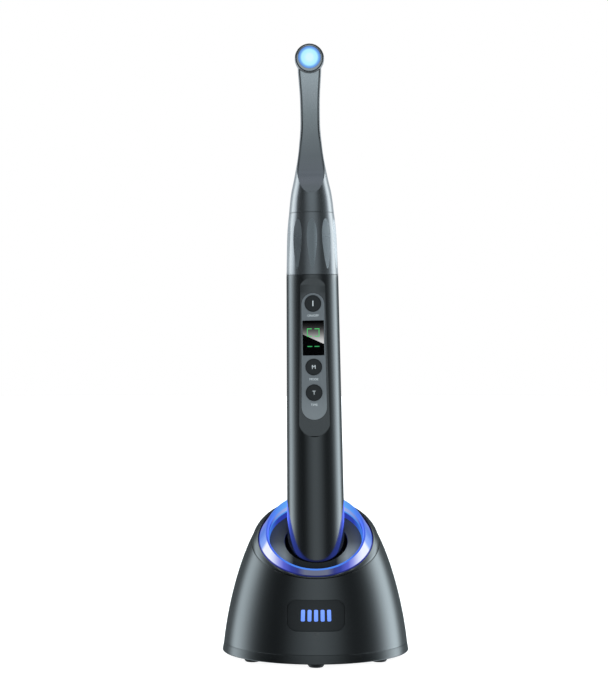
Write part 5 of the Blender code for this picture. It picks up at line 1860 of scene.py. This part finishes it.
@dataclass
class Neck:
    """The swivelling metal neck with its scooped front, and the lit head at its tip."""

    foot: float = 161.31
    foot_radius: float = 8.86
    tail_radius: float = 6.0
    tail_low: float = 142.9
    tail_bore: float = 4.6
    tail_bore_top: float = 164.2
    oval: Track = Track(
        (
            (0.0, 8.86, 8.86, 0.0),
            (4.5, 8.40, 8.40, 0.0),
            (8.3, 7.85, 7.85, 0.1),
            (12.3, 6.95, 7.00, 0.3),
            (16.2, 6.15, 6.20, 0.5),
            (20.2, 5.40, 5.50, 0.7),
            (24.0, 4.83, 5.00, 0.9),
            (27.9, 4.42, 4.60, 1.0),
            (31.9, 4.05, 4.20, 1.1),
            (35.7, 3.87, 3.90, 1.1),
            (43.6, 3.90, 3.80, 0.7),
            (47.6, 4.05, 3.90, 0.4),
            (52.2, 4.36, 4.00, 0.0),
            (56.4, 4.62, 3.80, -0.6),
            (60.4, 4.45, 3.00, -1.0),
        )
    )
    scoop: Track = Track(
        (
            (0.0, -13.2),
            (7.45, -7.89),
            (9.75, -6.37),
            (11.88, -4.97),
            (14.0, -3.66),
            (16.0, -2.54),
            (18.0, -1.73),
            (20.0, -1.2),
            (24.0, -0.74),
            (28.0, -0.68),
            (32.0, -0.86),
            (39.5, -1.4),
            (46.5, -2.1),
            (51.5, -2.9),
            (60.4, -4.2),
        )
    )
    square: Track = Track(((0.0, 0.0), (19.0, 0.0), (28.0, 0.6), (36.0, 1.0), (60.4, 1.0)))
    edge: Track = Track(((0.0, 0.0), (12.0, 0.0), (20.0, 1.0), (60.4, 1.0)))
    edge_width: float = 0.6
    edge_depth: float = 0.27
    side_width: float = 0.35
    side_bend: float = 1.4
    least_half: float = 0.25
    flat_points: int = 24
    side_points: int = 24
    arc_points: int = 56
    head_height: float = 221.95
    head_face: float = 6.0
    head_back: float = 4.0
    head_bore: float = 5.0
    head_drop: float = 0.3
    rim_outer: float = 5.42
    rim_inner: float = 5.06
    rim_stretch: float = 1.02
    rim_depth: float = 1.3
    rim_slope: float = 0.25
    bezel_inner: float = 4.4
    lens_sunk: float = 0.25
    lens_crown: float = 0.5
    gap: float = 0.03

    def build(self) -> None:
        """Builds and dresses the neck, its head and the lens."""
        self.build_shell()
        self.build_rim()
        self.build_bezel()
        self.build_lens()

    def section(self, rise: float) -> list[Vector]:
        """One section of the neck: an oval whose front is cut flat by the scoop, with chamfered edges.

        Args:
            rise: Height above the neck's foot.

        Returns:
            The section's points: first the flat, left to right, then the arc behind it.
        """
        wide, deep, middle = self.oval.at(rise)
        flat = max(self.scoop.at(rise)[0], middle - deep)
        share = min((middle - flat) / deep, 1.0)
        chord = wide * math.sqrt(1.0 - share * share)
        square = self.square.at(rise)[0]
        half = max(chord + (wide - self.side_width - chord) * square, self.least_half)
        cut = self.edge.at(rise)[0]
        edge = self.edge_width * cut
        height = self.foot + rise
        points = []
        for x in spaced(edge - half, half - edge, self.flat_points):
            oval = middle - deep * math.sqrt(max(1.0 - (x / wide) ** 2, 0.0))
            points.append(Vector((x, max(flat, oval) if square == 0.0 else flat, height)))
        corner = flat + self.edge_depth * cut
        bend = corner + (wide - half) * self.side_bend
        swing = math.asin(min(half / wide, 1.0))
        side = []
        for share in spaced(0.0, 1.0, self.side_points):
            angle = swing + (math.pi / 2.0 - swing) * share
            curved = Vector((wide * math.sin(angle), middle - deep * math.cos(angle)))
            curved.y += self.edge_depth * cut * (1.0 - share)
            first = Vector((half, corner)).lerp(Vector((wide, bend)), share)
            boxy = first.lerp(Vector((wide, bend)).lerp(Vector((wide, middle)), share), share)
            side.append(tuple(curved.lerp(boxy, square)))
        turns = spaced(0.0, math.pi, self.arc_points)
        back = [(wide * math.cos(angle), middle + deep * math.sin(angle)) for angle in turns]
        around = side + back[1:-1] + [(-x, y) for x, y in reversed(side)]
        return points + [Vector((x, y, height)) for x, y in around]

    def plain_section(self, radius: float, height: float) -> list[Vector]:
        """A round section with as many points as the scooped ones.

        Args:
            radius: Its radius.
            height: Its height along the handpiece.

        Returns:
            The section's points, counted from the front.
        """
        front, beside = 0.03, 0.06
        rest = 2 * self.side_points + self.arc_points - 2
        angles = spaced(-front, front, self.flat_points) + spaced(beside, 2.0 * math.pi - beside, rest)
        return [Vector((radius * math.sin(a), -radius * math.cos(a), height)) for a in angles]

    def rises(self) -> list[float]:
        """Rises of the sections above the foot, closest where the scoop starts and where it ends."""
        runs = ((0.1, 7.7, 16), (7.75, 9.4, 50), (9.5, 18.0, 50), (18.3, 51.3, 90), (51.5, 60.4, 60))
        return [rise for start, end, count in runs for rise in spaced(start, end, count)]

    def build_shell(self) -> None:
        """The neck with its tail in the grip, joined to the head's barrel."""
        groove, clip = (5.2, 157.4, 159.0), (5.1, 146.8, 148.6)
        steps = [(self.tail_bore, self.tail_bore_top), (self.tail_bore, self.tail_low)]
        steps += [(self.tail_radius, self.tail_low)]
        for radius, low, high in (clip, groove):
            steps += [(self.tail_radius, low), (radius, low), (radius, high), (self.tail_radius, high)]
        steps += [(self.tail_radius, self.foot), (self.foot_radius - 0.1, self.foot)]
        loops = [self.plain_section(radius, height) for radius, height in steps]
        loops += [self.section(rise) for rise in self.rises()]
        first = len(steps)

        def finish_of(loop: int, place: int) -> int:
            """The scooped facet has its own finish, which carries painted shading along its height.

            Args:
                loop: Number of the lower loop.
                place: Place on the loop.

            Returns:
                The finish's number.
            """
            if loop < first or place >= self.flat_points - 1:
                return 0
            rise = loops[loop][place].z - self.foot
            _, deep, middle = self.oval.at(rise)
            return 1 if self.scoop.at(rise)[0] > middle - deep else 0

        shell = paint(skin("neck_metal", loops, finish_of=finish_of), GUNMETAL, FACET_METAL_PAINTED_SHADE)
        edge = self.head_face - 0.2
        sides = [(self.rim_outer + 0.08, edge), (5.68, edge - 0.4), (5.76, 3.9), (5.78, 2.2)]
        sides += [(5.6, -0.4), (4.9, -2.6), (3.0, -3.7)]
        profile = [(0.0, edge), *rounded(sides, 0.4, 4), (1.5, -3.95), (0.0, -self.head_back)]
        barrel = paint(turned("head_barrel", profile, FINE), GUNMETAL)
        carve(shell, move(barrel, self.head_place(self.head_drop)), way="UNION")
        seat, step = self.rim_outer + self.gap, self.head_face - self.rim_depth - 0.1
        bore, floor, far = self.head_bore, 0.4, 9.0
        hole = [(0.0, floor), (bore, floor), (bore, step), (seat, step), (seat, far), (0.0, far)]
        carve(shell, move(turned("head_bore", hole, FINE), self.head_place(self.head_drop)))
        deliver(shell, (GUNMETAL, FACET_METAL_PAINTED_SHADE), Body.NECK, "neck_shell", place=PEN, sharp=24.0)

    def head_place(self, drop: float = 0.0) -> Matrix:
        """The frame of the head, facing the front, let down from the lens's axis."""
        return up(self.head_height - drop) @ FACING_FRONT

    def build_rim(self) -> None:
        """The black rim round the head's face."""
        face, low = self.head_face, self.head_face - self.rim_depth
        wall = [(self.rim_outer, face - self.rim_slope), (self.rim_outer, low)]
        wall += [(self.rim_inner, low), (self.rim_inner, face)]
        rim = turned("head_rim", rounded(wall, 0.12, 4, closed=True), FINE, ring=True)
        stretch = Matrix.Diagonal((1.0, self.rim_stretch, 1.0, 1.0))
        deliver(rim, RIM_BLACK, Body.NECK, place=PEN @ self.head_place(self.head_drop) @ stretch)

    def build_bezel(self) -> None:
        """The thin metal ring that holds the lens, a little wider below it than above it."""
        low, face = self.head_face - self.rim_depth, self.head_face - 0.05
        outer, inner = self.rim_inner - self.gap, self.bezel_inner
        chamfer, dip = 0.06, 0.1
        loops = []
        for radius, height in ((outer, low), (outer, face - chamfer), (outer - chamfer, face)):
            edge = circle(radius, FINE)
            loops.append([Vector((x, y * self.rim_stretch - self.head_drop, height)) for x, y in edge])
        mouth = face - dip
        for radius, height in ((inner + chamfer, mouth), (inner, mouth - chamfer), (inner, low)):
            loops.append(level_loop(radius, height))
        ring = skin("bezel_ring", loops, ring=True)
        deliver(ring, BEZEL_STEEL, Body.NECK, "lens_bezel", place=PEN @ self.head_place())

    def build_lens(self) -> None:
        """The crowned lens, lit from behind."""
        crown = self.head_face - self.lens_sunk
        edge = self.bezel_inner - self.gap
        profile = [(edge * share, crown - self.lens_crown * share**2) for share in spaced(0.0, 1.0, 16)]
        flange, flange_low, flange_high = 4.7, 3.6, 4.4
        profile += [(edge, flange_high), (flange, flange_high), (flange, flange_low), (0.0, flange_low)]
        lens = turned("lit_lens", profile, FINE)
        deliver(lens, LENS_LIT, Body.NECK, "lens", place=PEN @ self.head_place())


@dataclass
class Studio:
    """The pale floor, the soft light all round, the camera and the cards that the part mirrors."""

    camera_place: tuple[float, float, float] = (-4.6, -720.0, 121.5)
    focal_pixels: float = 1800.0
    frame_height: float = 700.0
    sensor: float = 36.0
    floor_radius: float = 4000.0
    strength: float = 9.0
    slant: float = 0.16
    tint: Colour = (0.79, 0.93, 1.0)
    bands: tuple[tuple[float, float], ...] = (
        (0.0, 1.76),
        (8.0, 1.7),
        (16.0, 1.45),
        (25.0, 1.12),
        (33.0, 0.72),
        (41.0, 0.4),
        (50.0, 0.27),
        (60.0, 0.28),
        (70.0, 0.44),
        (78.0, 0.8),
        (85.0, 1.45),
        (92.0, 2.6),
        (99.0, 4.2),
        (106.0, 5.4),
        (112.0, 5.8),
        (118.0, 5.4),
        (124.0, 4.2),
        (130.0, 1.9),
        (136.0, 0.75),
        (142.0, 0.4),
        (154.0, 0.22),
        (180.0, 0.12),
    )
    overhead: float = 0.3
    overhead_start: float = 0.88
    card_depth: float = -718.0
    wing_radius: float = 70.0
    wing_heights: tuple[float, float] = (154.5, 250.0)
    wing_depth: float = -11.2
    wing_angles: tuple[float, float] = (math.radians(78.0), math.radians(172.0))

    def build(self) -> None:
        """Sets up the floor, the light, the camera and the cards for the display and the metal."""
        self.build_floor()
        self.build_light()
        self.build_camera()
        self.build_cards()
        self.build_wings()
        scene = bpy.context.scene
        scene.view_settings.view_transform = "Standard"
        scene.view_settings.look = "None"

    def build_floor(self) -> None:
        """A wide pale disc, just under the feet."""
        thick = 20.0
        loops = [level_loop(self.floor_radius, height, ROUND) for height in (0.0, -thick)]
        floor = move(skin("floor", loops), TO_METRES)
        made = bpy.data.materials.new("pale_floor")
        made.use_nodes = True
        shader = made.node_tree.nodes["Principled BSDF"]
        shader.inputs["Base Color"].default_value = (0.4, 0.4, 0.4, 1.0)
        shader.inputs["Roughness"].default_value = 0.9
        shader.inputs["Emission Color"].default_value = (1.0, 1.0, 1.0, 1.0)
        shader.inputs["Emission Strength"].default_value = 0.95
        floor.data.materials.append(made)
        floor.visible_glossy = False

    def build_light(self) -> None:
        """A ring of soft light: a dim front, dark flanks, two bright strips and a dark back, all on white."""
        world = bpy.context.scene.world or bpy.data.worlds.new("studio")
        bpy.context.scene.world = world
        world.use_nodes = True
        world.node_tree.nodes.clear()
        bench = Bench(world.node_tree)
        way = bench.add("ShaderNodeTexCoord").outputs["Generated"]
        parts = bench.add("ShaderNodeSeparateXYZ", {0: way}).outputs
        side = bench.work_out("ABSOLUTE", parts["X"])
        front = bench.work_out("MULTIPLY", parts["Y"], -1.0)
        angle = bench.work_out("ARCTAN2", side, front)
        share = bench.work_out("MULTIPLY", angle, 1.0 / math.pi)
        stops = []
        for degrees, radiance in self.bands:
            stops.append((degrees / 180.0, tuple(part * radiance / self.strength for part in self.tint)))
        ring = bench.ramp(share, stops)
        above = bench.remap(bench.work_out("ABSOLUTE", parts["Z"]), self.overhead_start, 1.0)
        top = tuple(part * self.overhead / self.strength for part in self.tint)
        dome = bench.mix(above, ring, top)
        sided = bench.work_out("MULTIPLY_ADD", parts["X"], self.slant * self.strength, self.strength)
        soft = bench.add("ShaderNodeBackground", {"Color": dome, "Strength": sided})
        white = bench.add("ShaderNodeBackground", {"Color": (1.0, 1.0, 1.0, 1.0), "Strength": 1.0})
        seen = bench.add("ShaderNodeLightPath").outputs["Is Camera Ray"]
        both = bench.add("ShaderNodeMixShader", {0: seen, 1: soft.outputs[0], 2: white.outputs[0]})
        bench.add("ShaderNodeOutputWorld", {"Surface": both.outputs[0]})

    def build_cards(self) -> None:
        """A slanted light card before a black flag, which only the display mirrors."""
        glare = [(-8.0, 134.7), (13.0, 125.4), (13.0, 148.0), (-8.0, 148.0)]
        flag = [(-9.0, 114.0), (14.0, 114.0), (14.0, 149.0), (-9.0, 149.0)]
        thick, apart = 0.2, 0.6
        cards = (("glare_card", glare, 0.0, GLARE), ("black_flag", flag, apart, FLAG_BLACK))
        for name, corners, behind, finish in cards:
            near = self.card_depth - behind
            loops = [[Vector((x, y, z)) for x, z in corners] for y in (near, near - thick)]
            stage_light(skin(name, loops), finish)

    def build_wings(self) -> None:
        """Two curved light cards about the metal, which only its bright flanks mirror."""
        near, far = self.wing_radius, self.wing_radius + 1.0
        low, high = self.wing_heights
        section = ((near, low), (near, high), (far, high), (far, low))
        for side, name, finish in ((-1.0, "left_wing", LEFT_WING), (1.0, "right_wing", RIGHT_WING)):
            loops = []
            for angle in spaced(*self.wing_angles, 48):
                across, back = side * math.sin(angle), -math.cos(angle)
                points = [(across * reach, self.wing_depth + back * reach, z) for reach, z in section]
                loops.append([Vector(point) for point in points])
            stage_light(skin(name, loops), finish)

    def build_camera(self) -> None:
        """A level camera with a long lens, at the height of the handpiece's controls."""
        data = bpy.data.cameras.new("camera")
        data.sensor_fit = "VERTICAL"
        data.sensor_width = self.sensor
        data.sensor_height = self.sensor
        data.lens = self.focal_pixels / self.frame_height * self.sensor
        data.clip_start = 0.01
        camera = bpy.data.objects.new("camera", data)
        bpy.context.scene.collection.objects.link(camera)
        camera.location = Vector(self.camera_place) * MM
        camera.rotation_euler = (math.pi / 2.0, 0.0, 0.0)
        bpy.context.scene.camera = camera


def dress_carried_nodes() -> None:
    """Gives each CAD node that still shows its finish, by its material slot."""
    for name, node in sorted(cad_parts.items()):
        if node.hide_render:
            continue
        slot = node.material_slots[0].material.name.split(".")[0]
        finish = CARRIED_FINISHES[slot]
        for holder in node.material_slots:
            holder.material = finish.material()
        LOG.info("%s: carried over in %s", name, finish.name)


def main() -> None:
    """Builds the studio and the sub-assemblies in order."""
    logging.basicConfig(level=logging.INFO, format="%(message)s")
    Studio().build()
    ChargingBase().build()
    Handpiece().build()
    Neck().build()
    dress_carried_nodes()


if __name__ == "__main__":
    main()
